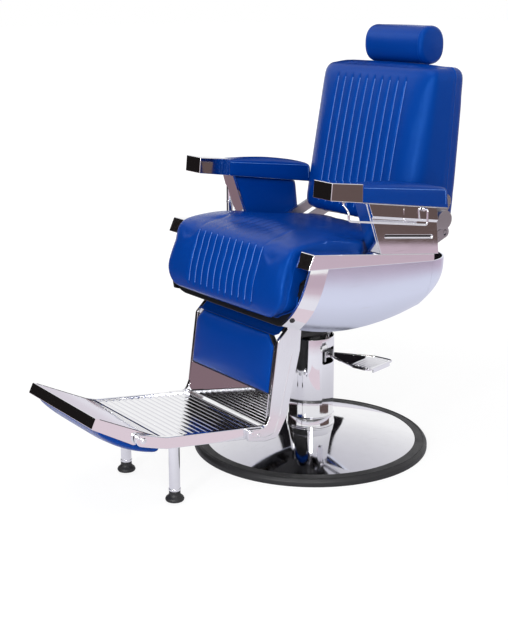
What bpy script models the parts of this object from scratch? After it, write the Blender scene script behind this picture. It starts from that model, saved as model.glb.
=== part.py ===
"""Barber chair: pump base, swivelling seat, reclining back and coupled leg rest.

Metres, +Z up. The origin is on the floor on the column axis. The chair faces -Y,
and the sitter's left hand is at +X. Every piece is one object under the empty of
the body that carries it, and that empty sits on the body's joint axis.
"""
import math

import bmesh
import bpy
from mathutils import Matrix, Vector

# Clearances
GAP = 0.0003
RUN = 0.0006
SOFT_GAP = 0.0005

# How squarely a pad keeps its fullness towards its sides and its ends
PAD_POWERS = (6.0, 9.0)
PAD_CROWN = 0.004

# Base
BASE_R = 0.330
BASE_PLATE_T = 0.012
DISC_T = 0.003
DOME_TOP = 0.062
DOME_CURVE = 1.5
RIM_W = 0.010
RIM_H = 0.021
RIM_LIP = 0.009
RIM_ROUND = 0.004

# Column and pump
COLUMN_R = 0.065
COLUMN_WALL = 0.0035
COLUMN_TOP = 0.318
COLLAR_H = 0.030
COLLAR_STEP = 0.0015
SLOT_W = 0.052
SLOT_H = 0.046
SLOT_ROUND = 0.006
PUMP_R = 0.040
PUMP_FLOOR = 0.095
PUMP_HEAD = 0.018
GLAND_H = 0.010
PISTON_R = 0.025
PISTON_FOOT = 0.010

# Foot pedal
PEDAL_Z = 0.268
PEDAL_TURN = math.radians(14.0)
PEDAL_PIVOT = 0.056
PEDAL_REACH = 0.236
PEDAL_W = 0.104
PEDAL_NECK = 0.030
PEDAL_T = 0.005
PEDAL_CORNER = 0.014
PEDAL_BLEND = 0.024
PEDAL_LIP_INSET = 0.020
PEDAL_LIP_H = 0.010
PEDAL_RIBS = 5
PEDAL_RIB_PITCH = 0.011
PEDAL_PIN_R = 0.004
PEDAL_HUB_R = 0.0085
BRACKET_T = 0.006
BRACKET_H = 0.028

# Mount plate and seat frame
HUB_H = 0.028
HUB_R = 0.045
HUB_LIFT = 0.004
PLATE_T = 0.010
PLATE_X = 0.100
PLATE_FRONT = -0.120
PLATE_REAR = 0.064
PLATE_ROUND = 0.020
FRAME_X = 0.098
FRAME_WALL = 0.005
FRAME_FRONT = -0.118
FRAME_REAR = 0.062
FRAME_TOP = 0.5447
BAR_W = 0.030
BAR_H = 0.025
FRONT_BAR_Y = -0.098
FRONT_BAR_Z = 0.521
REAR_BAR_Y = 0.042
REAR_BAR_Z = 0.485
BOARD_T = 0.010
BOARD_SETBACK = 0.022
BOARD_INSET = 0.008
BOARD_CORNER = 0.010
BOARD_REAR_ROUND = 0.050

# Seat cushion
SEAT_HALF = 0.258
SEAT_REAR_INSET = 0.001
SEAT_STEP_Y = -0.038
SEAT_STEP = 0.030
SEAT_REAR = 0.235
SEAT_REAR_TOP = 0.602
SEAT_FRONT = -0.250
SEAT_FRONT_TOP = 0.660
SEAT_NOSE = -0.314
SEAT_NOSE_Z = 0.485
SEAT_HEM = 0.457
SEAT_ROUND = 0.070
SEAT_BEND = 0.006
SEAT_CROWN = 0.004
SEAT_CHANNELS = 11
SEAT_CHANNEL_PITCH = 0.0285
CHANNEL_DEPTH = 0.005
CHANNEL_TOP = 0.632
CHANNEL_END = 0.480

# Front trim board
TRIM_SIDE = 0.018
TRIM_SETBACK = 0.040
TRIM_T = 0.014
TRIM_DROP = 0.022
TRIM_ROUND = 0.080

# Side covers, rear cover and rails
COVER_STEP = 0.005
COVER_T = 0.004
COVER_TUCK = 0.048
COVER_LEVELS = (0.0, 0.25, 0.5, 0.68, 0.82, 0.92, 1.0)
COVER_STATIONS = (0.30, 0.50, 0.70, 0.90)
COVER_FRONT_TOP = -0.240
COVER_FRONT_LOW = -0.292
COVER_SEAM = 0.156
COVER_R = 0.100
COVER_LOW_FRONT = 0.446
COVER_LOW_MID = 0.405
COVER_LOW_MID_Y = -0.070
COVER_LOW_REAR = 0.468
FLANGE_W = 0.034
FLANGE_T = 0.003
RAIL_SIDE = 0.005
RAIL_W = 0.052
RAIL_FRONT_TOP_Y = -0.248
RAIL_FRONT_TOP_Z = 0.631
RAIL_FRONT_LOW_Y = -0.2655
RAIL_FRONT_LOW_Z = 0.5935
RAIL_REAR_Y = 0.158
RAIL_REAR_TOP = 0.5825
RAIL_REAR_LOW = 0.563
RAIL_EDGE = 0.003

# Arms
ARM_SHIFT = 0.0225
ARM_W = 0.071
ARM_FRONT = -0.203
ARM_CAP_END = -0.100
ARM_REAR = 0.197
ARM_TOP_FRONT = 0.803
ARM_TOP_SLOPE = 0.113
ARM_LOW_FRONT = 0.759
ARM_LOW_SLOPE = 0.147
ARM_PAD_CROWN = 0.010
ARM_CAP_EDGE = 0.004
ARM_CORE_EDGE = 0.006
PANEL_T = 0.006
PANEL_FLARE = 0.006
PANEL_FRONT_TOP = -0.078
PANEL_FRONT_LOW = -0.030
PANEL_REAR_TOP = 0.158
PANEL_REAR_LOW = 0.172
PANEL_CREASE = 0.036
LOUVRE_H = 0.010
LOUVRE_DEPTH = 0.003
LOUVRE_RISE = 0.046
LOUVRE_END = 0.014
TOWEL_R = 0.0027
TOWEL_STAND = 0.020
TOWEL_FRONT = -0.158
TOWEL_REAR = 0.108
TOWEL_DROP = 0.045
TOWEL_BEND = 0.006

# Back and its hinge
HINGE_Y = 0.245
HINGE_Z = 0.655
RECLINE = math.radians(42.0)
LEG_RATIO = 0.65
HINGE_ROOM = 0.0305
BACK_LOW = 0.632
BACK_TOP = 1.052
BACK_FRONT_LOW = 0.122
BACK_FRONT_TILT = math.radians(11.3)
BACK_REAR_LOW = 0.322
BACK_REAR_TILT = math.radians(4.3)
SHELL_T = 0.050
BACK_ROUND = 0.030
BACK_CROWN = 0.006
BACK_CHANNELS = 10
BACK_CHANNEL_PITCH = 0.031
BACK_CHANNEL_INSET = 0.045
HINGE_PLATE_T = 0.0075
HINGE_DISC_R = 0.026
HINGE_STRAP_TOP = 0.700
HINGE_STRAP_W = 0.040
HINGE_PIN_R = 0.007
LINK_T = 0.007
LINK_SIDE = 0.0025
BRACKET_SIDE = 0.002
BRACKET_FOOT_Y = 0.068
BRACKET_SINK = 0.016
BRACKET_ARM_R = 0.014
CRANK_LOBE_R = 0.012

# Headrest
POST_W = 0.044
POST_T = 0.010
POST_DEPTH = 0.190
POST_BEHIND = 0.016
HEAD_HALF = 0.117
HEAD_DEPTH = 0.098
HEAD_H = 0.116
HEAD_SEAT = 0.001
KNOB_R = 0.019
KNOB_L = 0.022
KNOB_STEM_R = 0.005
KNOB_DROP = 0.070
KNOB_STAND = 0.0045
KNOB_EDGE = 0.004

# Leg rest
LEG_PIVOT_Y = -0.210
LEG_PIVOT_Z = 0.490
LEG_SHAFT_R = 0.008
LEG_ARM_X = 0.178
LEG_ARM_T = 0.012
LEG_BOSS_R = 0.020
LEG_NECK = 0.075
LEG_ARM_PROUD = 0.002
LEG_ARM_TOP = 0.385
LEG_ARM_BEND = 0.190
LEG_ARM_ROUND = 0.018
LEG_INSTEP = -0.300
LEG_TOE = -0.354
LEG_HEEL = -0.262
LEG_REAR_LOW_Y = -0.232
LEG_REAR_LOW_Z = 0.180
LEG_REAR_TOP_Y = -0.190
LEG_REAR_TOP_Z = 0.350
LEG_CRANK_R = 0.060
CRANK_PIN_R = 0.005
LINK_END_R = 0.015
SLOT_PLAY = 0.004
CROSSBAR_R = 0.008
CROSSBAR_Y = -0.150
CALF_TOP_Y = -0.257
CALF_TOP_Z = 0.398
CALF_LOW_Y = -0.289
CALF_LOW_Z = 0.166
CALF_T = 0.010
CALF_PAD_T = 0.014
CALF_PAD_INSET = 0.005
CALF_CHAMFER = 0.026
KICK_TOP_Z = 0.246
KICK_T = 0.004
FOOT_HALF = 0.166
FOOT_REAR_Y = -0.274
FOOT_REAR_Z = 0.1575
FOOT_FRONT_Y = -0.590
FOOT_FRONT_Z = 0.1955
FOOT_T = 0.010
FOOT_RIBS = 15
FOOT_RIB_H = 0.003
FOOT_RIB_SHARE = 0.5
FOOT_RIB_FLANK = 0.2
FOOT_PLAIN = 0.026
FOOT_RAIL_H = 0.030
FOOT_RAIL_PROUD = 0.004
LEG_TUBE_X = 0.120
LEG_TUBE_Y = -0.533
LEG_TUBE_R = 0.014
LEG_TUBE_WALL = 0.002
FOOT_PAD_R = 0.0245
FOOT_PAD_H = 0.026
FOOT_PAD_EDGE = 0.0035
FLOOR_CLEAR = 0.003

# Flip foot plate
FLIP_PIVOT_Y = -0.655
FLIP_PIVOT_Z = 0.206
FLIP_HALF = 0.164
FLIP_FRONT_Y = -0.774
FLIP_FRONT_Z = 0.284
FLIP_LIP = 0.025
FLIP_LIP_LEAN = 0.012
FLIP_GAP = 0.004
FLIP_T = 0.005
FLIP_SIDE_H = 0.030
FLIP_PIN_R = 0.005
FLIP_PAD_T = 0.046
FLIP_EAR_R = 0.020

# Gas spring and recline lever
SPRING_R = 0.014
SPRING_ROD_R = 0.006
SPRING_FRONT = -0.112
SPRING_REAR = 0.058
CLAMP_W = 0.036
CLAMP_L = 0.040
LEVER_Y = -0.043
LEVER_Z = 0.505
LEVER_R = 0.0095
LEVER_TOP = 0.712
LEVER_HUB_R = 0.017
LEVER_STAND = 0.0145

# Sizes that follow from the ones above
SIDES = (("left", 1.0), ("right", -1.0))
DISC_EDGE_R = BASE_R - RIM_W - GAP
DISC_EDGE_Z = BASE_PLATE_T + GAP + DISC_T
COLUMN_BORE = COLUMN_R - COLUMN_WALL
COLLAR_TOP = DOME_TOP + GAP + COLLAR_H
PUMP_TOP = COLUMN_TOP - PUMP_HEAD
HUB_LOW = COLUMN_TOP + HUB_LIFT
PLATE_LOW = HUB_LOW + HUB_H
PLATE_TOP = PLATE_LOW + PLATE_T
BOARD_LOW = FRAME_TOP + GAP
BOARD_TOP = BOARD_LOW + BOARD_T
RAIL_INNER = SEAT_HALF + RAIL_SIDE
RAIL_X = RAIL_INNER + RAIL_W
ARM_X = RAIL_INNER + ARM_SHIFT
COVER_X = RAIL_X - COVER_STEP
TRIM_HALF = COVER_X - TRIM_SIDE
TOWEL_X = RAIL_X + TOWEL_STAND
BACK_HALF = RAIL_INNER - HINGE_ROOM
SEAT_REAR_HALF = BACK_HALF - SEAT_REAR_INSET
LEG_SWING = RECLINE * LEG_RATIO
LINK_TRAVEL = 2 * LEG_CRANK_R * math.sin(LEG_SWING / 2)
BACK_CRANK_R = LINK_TRAVEL / (2 * math.sin(RECLINE / 2))
HINGE_PLATE_X = BACK_HALF + SOFT_GAP
LINK_X = HINGE_PLATE_X + HINGE_PLATE_T + LINK_SIDE
BRACKET_X = LINK_X + LINK_T + BRACKET_SIDE
LINK_REAR = (HINGE_Y + BACK_CRANK_R * math.sin(RECLINE / 2), HINGE_Z - BACK_CRANK_R * math.cos(RECLINE / 2))
LINK_FRONT = (LEG_PIVOT_Y + LINK_TRAVEL / 2, LEG_PIVOT_Z - LEG_CRANK_R * math.cos(LEG_SWING / 2))
LINK_SLOPE = (LINK_REAR[1] - LINK_FRONT[1]) / (LINK_REAR[0] - LINK_FRONT[0])
CROSSBAR_Z = LINK_FRONT[1] + LINK_SLOPE * (CROSSBAR_Y - LINK_FRONT[0])
FOOT_SLOPE = (FOOT_FRONT_Z - FOOT_REAR_Z) / (FOOT_FRONT_Y - FOOT_REAR_Y)
CALF_SLOPE = (CALF_TOP_Y - CALF_LOW_Y) / (CALF_TOP_Z - CALF_LOW_Z)
FOOT_RAIL_X = FOOT_HALF + GAP
FOOT_RAIL_T = LEG_ARM_X - GAP - FOOT_RAIL_X


class Body:
    """An empty on a joint axis, which carries the pieces of one moving body."""

    def __init__(self, name, pivot, carrier=None):
        self.pivot = Vector(pivot)
        self.empty = bpy.data.objects.new("body_" + name, None)
        self.empty.empty_display_size = 0.05
        bpy.context.scene.collection.objects.link(self.empty)
        self.empty.location = self.pivot
        if carrier is not None:
            self.empty.parent = carrier.empty
            self.empty.location = self.pivot - carrier.pivot


def finish(name, colour, roughness, metallic):
    """Make a Principled material."""
    material = bpy.data.materials.new(name)
    material.use_nodes = True
    shader = material.node_tree.nodes["Principled BSDF"]
    shader.inputs["Base Color"].default_value = (*colour, 1.0)
    shader.inputs["Roughness"].default_value = roughness
    shader.inputs["Metallic"].default_value = metallic
    return material


def add(name, shape, material, body, sharp=32.0):
    """Make a named object of a shape given in chair coordinates, on its body."""
    bmesh.ops.recalc_face_normals(shape, faces=shape.faces)
    bmesh.ops.translate(shape, verts=shape.verts, vec=-body.pivot)
    mesh = bpy.data.meshes.new(name)
    shape.to_mesh(mesh)
    shape.free()
    mesh.materials.append(material)
    mesh.shade_smooth()
    mesh.set_sharp_from_angle(angle=math.radians(sharp))
    piece = bpy.data.objects.new(name, mesh)
    bpy.context.scene.collection.objects.link(piece)
    piece.parent = body.empty
    return piece


def tool(name, shape):
    """Make a hidden helper solid for a Boolean."""
    bmesh.ops.recalc_face_normals(shape, faces=shape.faces)
    mesh = bpy.data.meshes.new(name)
    shape.to_mesh(mesh)
    shape.free()
    helper = bpy.data.objects.new(name, mesh)
    bpy.context.scene.collection.objects.link(helper)
    helper.hide_render = True
    helper.display_type = "WIRE"
    return helper


def combine(piece, operation, *shapes):
    """Cut shapes from a piece, or weld them on."""
    for number, shape in enumerate(shapes):
        modifier = piece.modifiers.new(operation.title(), "BOOLEAN")
        modifier.operation = operation
        modifier.solver = "EXACT"
        modifier.object = tool(f"{piece.name}.{operation.lower()}.{number}", shape)


def soften(piece, width, segments=2):
    """Round the sharp edges of a piece."""
    modifier = piece.modifiers.new("Edges", "BEVEL")
    modifier.width = width
    modifier.segments = segments
    modifier.limit_method = "ANGLE"
    modifier.angle_limit = math.radians(40.0)


def prism(outline, start, end, axis="X"):
    """Extrude a closed outline along an axis: (y, z) on X, (x, z) on Y, (x, y) on Z."""
    shape = bmesh.new()
    if axis == "X":
        spots = [[(t, a, b) for a, b in outline] for t in (start, end)]
    elif axis == "Y":
        spots = [[(a, t, b) for a, b in outline] for t in (start, end)]
    else:
        spots = [[(a, b, t) for a, b in outline] for t in (start, end)]
    low, high = [[shape.verts.new(spot) for spot in ring] for ring in spots]
    shape.faces.new(low)
    shape.faces.new(high)
    for i in range(len(low)):
        shape.faces.new((low[i - 1], low[i], high[i], high[i - 1]))
    return shape


def block(low, high):
    """Make a box between two corners."""
    outline = [(low[0], low[1]), (high[0], low[1]), (high[0], high[1]), (low[0], high[1])]
    return prism(outline, low[2], high[2], "Z")


def turned(profile, segments=48, axis="Z", centre=(0.0, 0.0, 0.0)):
    """Turn a closed profile of (radius, height) points round an axis through a centre."""
    shape = bmesh.new()
    middle = Vector(centre)
    rings = []
    for radius, height in profile:
        count = 1 if radius < 1e-9 else segments
        ring = []
        for k in range(count):
            angle = 2 * math.pi * k / segments
            a = radius * math.cos(angle)
            b = radius * math.sin(angle)
            spot = {"Z": (a, b, height), "X": (height, a, b), "Y": (b, height, a)}[axis]
            ring.append(shape.verts.new(middle + Vector(spot)))
        rings.append(ring)
    for first, second in zip(rings, rings[1:] + rings[:1]):
        for k in range(segments):
            after = (k + 1) % segments
            corners = [first[k % len(first)], first[after % len(first)]]
            corners += [second[after % len(second)], second[k % len(second)]]
            face = list(dict.fromkeys(corners))
            if len(face) > 2:
                shape.faces.new(face)
    return shape


def rod(start, end, radius, sides=16, bore=0.0):
    """Make a round bar, or a tube, between two points."""
    first = Vector(start)
    along = Vector(end) - first
    if bore:
        profile = [(bore, 0), (radius, 0), (radius, along.length), (bore, along.length)]
    else:
        profile = [(0, 0), (radius, 0), (radius, along.length), (0, along.length)]
    shape = turned(profile, sides)
    turn = Vector((0, 0, 1)).rotation_difference(along.normalized())
    bmesh.ops.rotate(shape, matrix=turn.to_matrix(), verts=shape.verts)
    bmesh.ops.translate(shape, vec=first, verts=shape.verts)
    return shape


def axle(start, end, y, z, radius, sides=16):
    """Make a round bar along X."""
    return rod((start, y, z), (end, y, z), radius, sides)


def bent_wire(points, radius, sides=8):
    """Sweep a round wire along a list of points, with mitred bends."""
    shape = bmesh.new()
    spots = [Vector(p) for p in points]
    runs = [(b - a).normalized() for a, b in zip(spots, spots[1:])]
    across = runs[0].orthogonal().normalized()
    rings = []
    for i, spot in enumerate(spots):
        before = runs[max(i - 1, 0)]
        after = runs[min(i, len(runs) - 1)]
        mitre = (before + after).normalized()
        across = (across - before * across.dot(before)).normalized()
        other = before.cross(across)
        ring = []
        for k in range(sides):
            angle = 2 * math.pi * k / sides
            offset = radius * (math.cos(angle) * across + math.sin(angle) * other)
            offset -= before * (offset.dot(mitre) / before.dot(mitre))
            ring.append(shape.verts.new(spot + offset))
        rings.append(ring)
    bridge(shape, rings)
    return shape


def bridge(shape, rings):
    """Skin a row of equal rings and close both ends."""
    count = len(rings[0])
    for first, second in zip(rings, rings[1:]):
        for k in range(count):
            after = (k + 1) % count
            shape.faces.new((first[k], first[after], second[after], second[k]))
    shape.faces.new(rings[0])
    shape.faces.new(rings[-1])


def shell(outer, inner):
    """Close the space between two grids of points of the same size."""
    shape = bmesh.new()
    rows = len(outer)
    columns = len(outer[0])
    skins = [[[shape.verts.new(spot) for spot in row] for row in grid] for grid in (outer, inner)]
    for skin in skins:
        for i in range(rows - 1):
            for j in range(columns - 1):
                shape.faces.new((skin[i][j], skin[i][j + 1], skin[i + 1][j + 1], skin[i + 1][j]))
    edge = [(0, j) for j in range(columns)] + [(i, columns - 1) for i in range(1, rows)]
    edge += [(rows - 1, j) for j in range(columns - 2, -1, -1)] + [(i, 0) for i in range(rows - 2, 0, -1)]
    for (i, j), (m, n) in zip(edge, edge[1:] + edge[:1]):
        shape.faces.new((skins[0][i][j], skins[0][m][n], skins[1][m][n], skins[1][i][j]))
    return shape


def fillet(corners, radii, steps=4):
    """Round the corners of a closed outline, with one radius or one for each corner."""
    if not isinstance(radii, (list, tuple)):
        radii = [radii] * len(corners)
    outline = []
    for i, corner in enumerate(corners):
        here = Vector(corner)
        before = (Vector(corners[i - 1]) - here)
        after = (Vector(corners[(i + 1) % len(corners)]) - here)
        if radii[i] <= 0:
            outline.append(tuple(here))
            continue
        half = before.angle(after) / 2
        run = min(radii[i] / math.tan(half), before.length / 2, after.length / 2)
        radius = run * math.tan(half)
        centre = here + (before.normalized() + after.normalized()).normalized() * (radius / math.sin(half))
        start = here + before.normalized() * run - centre
        sweep = start.angle_signed(here + after.normalized() * run - centre)
        for k in range(steps + 1):
            angle = -sweep * k / steps
            turn = Matrix.Rotation(angle, 2)
            outline.append(tuple(centre + turn @ start))
    return outline


def stadium(start, end, radius, steps=8):
    """Outline of a bar with round ends between two points."""
    first = Vector(start)
    second = Vector(end)
    heading = math.atan2(second.y - first.y, second.x - first.x)
    outline = []
    for centre, turn in ((second, -math.pi / 2), (first, math.pi / 2)):
        for k in range(steps + 1):
            angle = heading + turn + math.pi * k / steps
            outline.append((centre.x + radius * math.cos(angle), centre.y + radius * math.sin(angle)))
    return outline


def curve_through(knots, share):
    """Point at a share 0 to 1 along a smooth curve through evenly counted knots."""
    place = share * (len(knots) - 1)
    i = min(int(place), len(knots) - 2)
    t = place - i
    p1 = Vector(knots[i])
    p2 = Vector(knots[i + 1])
    p0 = Vector(knots[i - 1]) if i else 2 * p1 - p2
    p3 = Vector(knots[i + 2]) if i + 2 < len(knots) else 2 * p2 - p1
    return 0.5 * (2 * p1 + (p2 - p0) * t + (2 * p0 - 5 * p1 + 4 * p2 - p3) * t * t
                  + (3 * p1 - p0 - 3 * p2 + p3) * t ** 3)


def spread(middle, edge=(0.99, 0.96, 0.90)):
    """Values from -1 to 1: close together at the ends, with even steps between."""
    inner = [edge[-1] * (2 * k / middle - 1) for k in range(1, middle)]
    return [-1.0] + [-e for e in edge] + inner + list(reversed(edge)) + [1.0]


def drawn_in(value, power):
    """Fullness of a pad, 1 in the middle and 0 at its sewn edge."""
    return max(0.0, 1.0 - abs(value) ** power) ** (1.0 / power)


def pillow(inner, outer, half_width, columns, rows, crown=0.0, powers=(5.0, 5.0), groove=None):
    """Close a pad with a flat inner face and a crowned outer face drawn in at its rim.

    inner and outer give the (y, z) of the two faces at a share along the pad,
    half_width gives its half width there, and groove the depth of a sewn channel.
    """
    shape = bmesh.new()
    faces = [[], []]
    last_row = len(rows) - 1
    last_column = len(columns) - 1
    for i, v in enumerate(rows):
        share = (v + 1) / 2
        low = inner(share)
        high = outer(share)
        wide = half_width(share)
        line = [[], []]
        for j, u in enumerate(columns):
            full = drawn_in(u, powers[0]) * drawn_in(v, powers[1])
            rise = (high - low) * full
            rise += (high - low).normalized() * crown * (1 - u * u) * (1 - v * v)
            if groove:
                rise -= (high - low).normalized() * groove(u * wide, high)
            flat = shape.verts.new((u * wide, low.x, low.y))
            rim = i in (0, last_row) or j in (0, last_column)
            top = flat if rim else shape.verts.new((u * wide, low.x + rise.x, low.y + rise.y))
            line[0].append(flat)
            line[1].append(top)
        faces[0].append(line[0])
        faces[1].append(line[1])
    for skin in faces:
        for i in range(last_row):
            for j in range(last_column):
                shape.faces.new((skin[i][j], skin[i][j + 1], skin[i + 1][j + 1], skin[i + 1][j]))
    return shape


def moved(shape, x=0.0, mirror=False):
    """Shift a shape along X, or mirror it to the other side of the chair."""
    if mirror:
        bmesh.ops.scale(shape, vec=(-1, 1, 1), verts=shape.verts)
    bmesh.ops.translate(shape, vec=(x, 0, 0), verts=shape.verts)
    return shape


def sided(side, start, end):
    """An X range given for the left side, put on the side asked for."""
    return sorted((side * start, side * end))


def dome_height(radius):
    """Height of the base dome's upper face."""
    share = max(0.0, (radius - COLUMN_R) / (DISC_EDGE_R - COLUMN_R))
    return DISC_EDGE_Z + (DOME_TOP - DISC_EDGE_Z) * (1 - share ** DOME_CURVE)


def rail_top(y):
    """Height of the seat rail's upper edge."""
    share = (y - RAIL_FRONT_TOP_Y) / (RAIL_REAR_Y - RAIL_FRONT_TOP_Y)
    return RAIL_FRONT_TOP_Z + (RAIL_REAR_TOP - RAIL_FRONT_TOP_Z) * share


def rail_low(y):
    """Height of the seat rail's lower edge."""
    share = (y - RAIL_FRONT_LOW_Y) / (RAIL_REAR_Y - RAIL_FRONT_LOW_Y)
    return RAIL_FRONT_LOW_Z + (RAIL_REAR_LOW - RAIL_FRONT_LOW_Z) * share


def arm_top(y):
    """Height of the arm's upper face."""
    return ARM_TOP_FRONT - ARM_TOP_SLOPE * (y - ARM_FRONT)


def arm_low(y):
    """Height of the arm's lower face."""
    return ARM_LOW_FRONT - ARM_LOW_SLOPE * (y - ARM_FRONT)


def foot_top(y):
    """Height of the foot platform's upper face."""
    return FOOT_REAR_Z + FOOT_SLOPE * (y - FOOT_REAR_Y)


def calf_front(z):
    """Depth of the calf panel's front face."""
    return CALF_TOP_Y + CALF_SLOPE * (z - CALF_TOP_Z)


def cover_low(y):
    """Height of the side cover's lower edge, lowest a little ahead of the column."""
    if y < COVER_LOW_MID_Y:
        share = (COVER_LOW_MID_Y - y) / (COVER_LOW_MID_Y - COVER_FRONT_LOW)
        return COVER_LOW_MID + (COVER_LOW_FRONT - COVER_LOW_MID) * share ** 2
    share = (y - COVER_LOW_MID_Y) / (COVER_SEAM + COVER_R - COVER_LOW_MID_Y)
    return COVER_LOW_MID + (COVER_LOW_REAR - COVER_LOW_MID) * share ** 2


def cover_tuck(share):
    """How far the cover has curved in at a share 0 (top) to 1 (bottom) of its height."""
    for first, second in zip(COVER_LEVELS, COVER_LEVELS[1:]):
        if share <= second:
            part = (share - first) / (second - first)
            return COVER_TUCK * (first ** 3 + (second ** 3 - first ** 3) * part)
    return COVER_TUCK


def cover_inside(y, z):
    """Reach from the middle of the chair to just inside the side cover."""
    share = (rail_low(y) - z) / (rail_low(y) - cover_low(y))
    return COVER_X - cover_tuck(share) - COVER_T - SOFT_GAP


def build_base(body, steel, chrome, rubber):
    """Floor plate, dome, rubber rim, column, pump and pedal bracket."""
    inner = PUMP_R + GAP
    edge = DISC_EDGE_R
    add("base_plate", turned([(0, 0), (edge, 0), (edge, BASE_PLATE_T), (0, BASE_PLATE_T)]), steel, body)
    steps = 7
    radii = [edge + (inner - edge) * k / steps for k in range(steps + 1)]
    top = [(r, dome_height(r)) for r in radii]
    under = [(r, z - DISC_T) for r, z in reversed(top)]
    add("base_disc", turned(top + under), chrome, body)
    lip = edge - RIM_LIP
    wall = BASE_R - RIM_W
    rim = [(wall, 0), (BASE_R - RIM_ROUND, 0), (BASE_R, RIM_ROUND), (BASE_R, RIM_H - RIM_ROUND)]
    rim += [(BASE_R - RIM_ROUND, RIM_H), (lip, RIM_H)]
    rim += [(lip, dome_height(lip) + GAP), (wall, DISC_EDGE_Z + GAP)]
    add("base_rim", turned(rim), rubber, body)

    pump = [(0, BASE_PLATE_T + GAP), (PUMP_R, BASE_PLATE_T + GAP), (PUMP_R, PUMP_TOP)]
    pump += [(PISTON_R + RUN, PUMP_TOP), (PISTON_R + RUN, PUMP_FLOOR), (0, PUMP_FLOOR)]
    add("pump_cylinder", turned(pump, 32), steel, body)
    gland_low = PUMP_TOP + GAP
    gland = [(PISTON_R + GAP, gland_low), (PUMP_R, gland_low), (PUMP_R, gland_low + GLAND_H)]
    gland += [(PISTON_R + GAP, gland_low + GLAND_H)]
    add("pump_gland", turned(gland, 32), rubber, body)

    wide = COLUMN_R + COLLAR_STEP
    low = DOME_TOP + GAP
    collar = [(COLUMN_BORE, low), (wide, low), (wide, COLLAR_TOP - COLLAR_STEP), (COLUMN_R, COLLAR_TOP)]
    add("column_collar", turned(collar + [(COLUMN_BORE, COLLAR_TOP)]), chrome, body)
    tube = [(COLUMN_BORE, COLLAR_TOP + GAP), (COLUMN_R, COLLAR_TOP + GAP)]
    tube += [(COLUMN_R, COLUMN_TOP), (COLUMN_BORE, COLUMN_TOP)]
    sleeve = add("column_sleeve", turned(tube), chrome, body)
    half = SLOT_W / 2
    window = [(-half, PEDAL_Z - SLOT_H / 2), (half, PEDAL_Z - SLOT_H / 2)]
    window += [(half, PEDAL_Z + SLOT_H / 2), (-half, PEDAL_Z + SLOT_H / 2)]
    slot = prism(fillet(window, SLOT_ROUND), PUMP_R, COLUMN_R + PUMP_R, "X")
    combine(sleeve, "DIFFERENCE", turn_to_pedal(slot))

    cheek = PEDAL_NECK / 2 + RUN
    reach = PEDAL_PIVOT + PEDAL_HUB_R
    root = PEDAL_PIVOT - PEDAL_HUB_R - RUN
    wide = cheek + BRACKET_T
    fork = [(PUMP_R - BRACKET_T, -wide), (reach, -wide), (reach, -cheek), (root, -cheek)]
    fork += [(x, -y) for x, y in reversed(fork)]
    bracket = prism(fork, PEDAL_Z - BRACKET_H / 2, PEDAL_Z + BRACKET_H / 2, "Z")
    bracket = add("pedal_bracket", turn_to_pedal(bracket), steel, body)
    end = cheek + BRACKET_T / 2
    pin = rod((PEDAL_PIVOT, -end, PEDAL_Z), (PEDAL_PIVOT, end, PEDAL_Z), PEDAL_PIN_R)
    combine(bracket, "UNION", turn_to_pedal(pin))
    combine(bracket, "DIFFERENCE", rod((0, 0, 0), (0, 0, COLUMN_TOP), PUMP_R + GAP, 32))


def turn_to_pedal(shape):
    """Turn a shape made along +X to the pedal's own direction."""
    bmesh.ops.rotate(shape, verts=shape.verts, matrix=Matrix.Rotation(PEDAL_TURN, 3, "Z"))
    return shape


def build_pedal(body, chrome):
    """Fan-shaped pump pedal with a hub, a brace underneath and grip ribs."""
    neck = PEDAL_NECK / 2
    half = PEDAL_W / 2
    flare = PEDAL_REACH - PEDAL_RIBS * PEDAL_RIB_PITCH
    outline = [(PEDAL_PIVOT + PEDAL_T / 3, -neck), (COLUMN_R + PEDAL_HUB_R, -neck)]
    outline += [(flare, -half), (PEDAL_REACH, -half)]
    outline += [(x, -y) for x, y in reversed(outline)]
    rounds = [0, PEDAL_BLEND, PEDAL_BLEND, PEDAL_CORNER]
    outline = fillet(outline, rounds + rounds[::-1])
    top = PEDAL_Z + PEDAL_HUB_R - PEDAL_T / 4
    pedal = add("foot_pedal", turn_to_pedal(prism(outline, top - PEDAL_T, top, "Z")), chrome, body)
    hub_end = neck + GAP
    hub = rod((PEDAL_PIVOT, -hub_end, PEDAL_Z), (PEDAL_PIVOT, hub_end, PEDAL_Z), PEDAL_HUB_R)
    brace_start = (PEDAL_PIVOT, 0, PEDAL_Z - PEDAL_HUB_R / 2)
    brace_end = (PEDAL_REACH - PEDAL_W / 4, 0, top - PEDAL_T - PEDAL_PIN_R / 2)
    brace = rod(brace_start, brace_end, PEDAL_PIN_R, 8)
    ribs = []
    for k in range(PEDAL_RIBS):
        x = PEDAL_REACH - PEDAL_RIB_PITCH * (k + 0.75)
        reach = half - PEDAL_RIB_PITCH
        high = (x + PEDAL_RIB_PITCH / 2, reach, top + PEDAL_T / 3)
        ribs.append(block((x, -reach, top - PEDAL_T / 3), high))
    grip = half - PEDAL_LIP_INSET
    lip_low = (PEDAL_REACH - PEDAL_T, -grip, top - PEDAL_T / 2 - PEDAL_LIP_H)
    lip = block(lip_low, (PEDAL_REACH - GAP, grip, top - PEDAL_T / 2))
    combine(pedal, "UNION", *[turn_to_pedal(s) for s in [hub, brace, lip] + ribs])
    ends = 2 * neck
    hole = rod((PEDAL_PIVOT, -ends, PEDAL_Z), (PEDAL_PIVOT, ends, PEDAL_Z), PEDAL_PIN_R + GAP)
    combine(pedal, "DIFFERENCE", turn_to_pedal(hole))


def build_piston(body, chrome):
    """Pump piston that lifts the seat and lets it swivel."""
    foot = PUMP_FLOOR + PISTON_FOOT
    top = PLATE_LOW - GAP
    add("piston_rod", turned([(0, foot), (PISTON_R, foot), (PISTON_R, top), (0, top)], 32), chrome, body)


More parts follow.
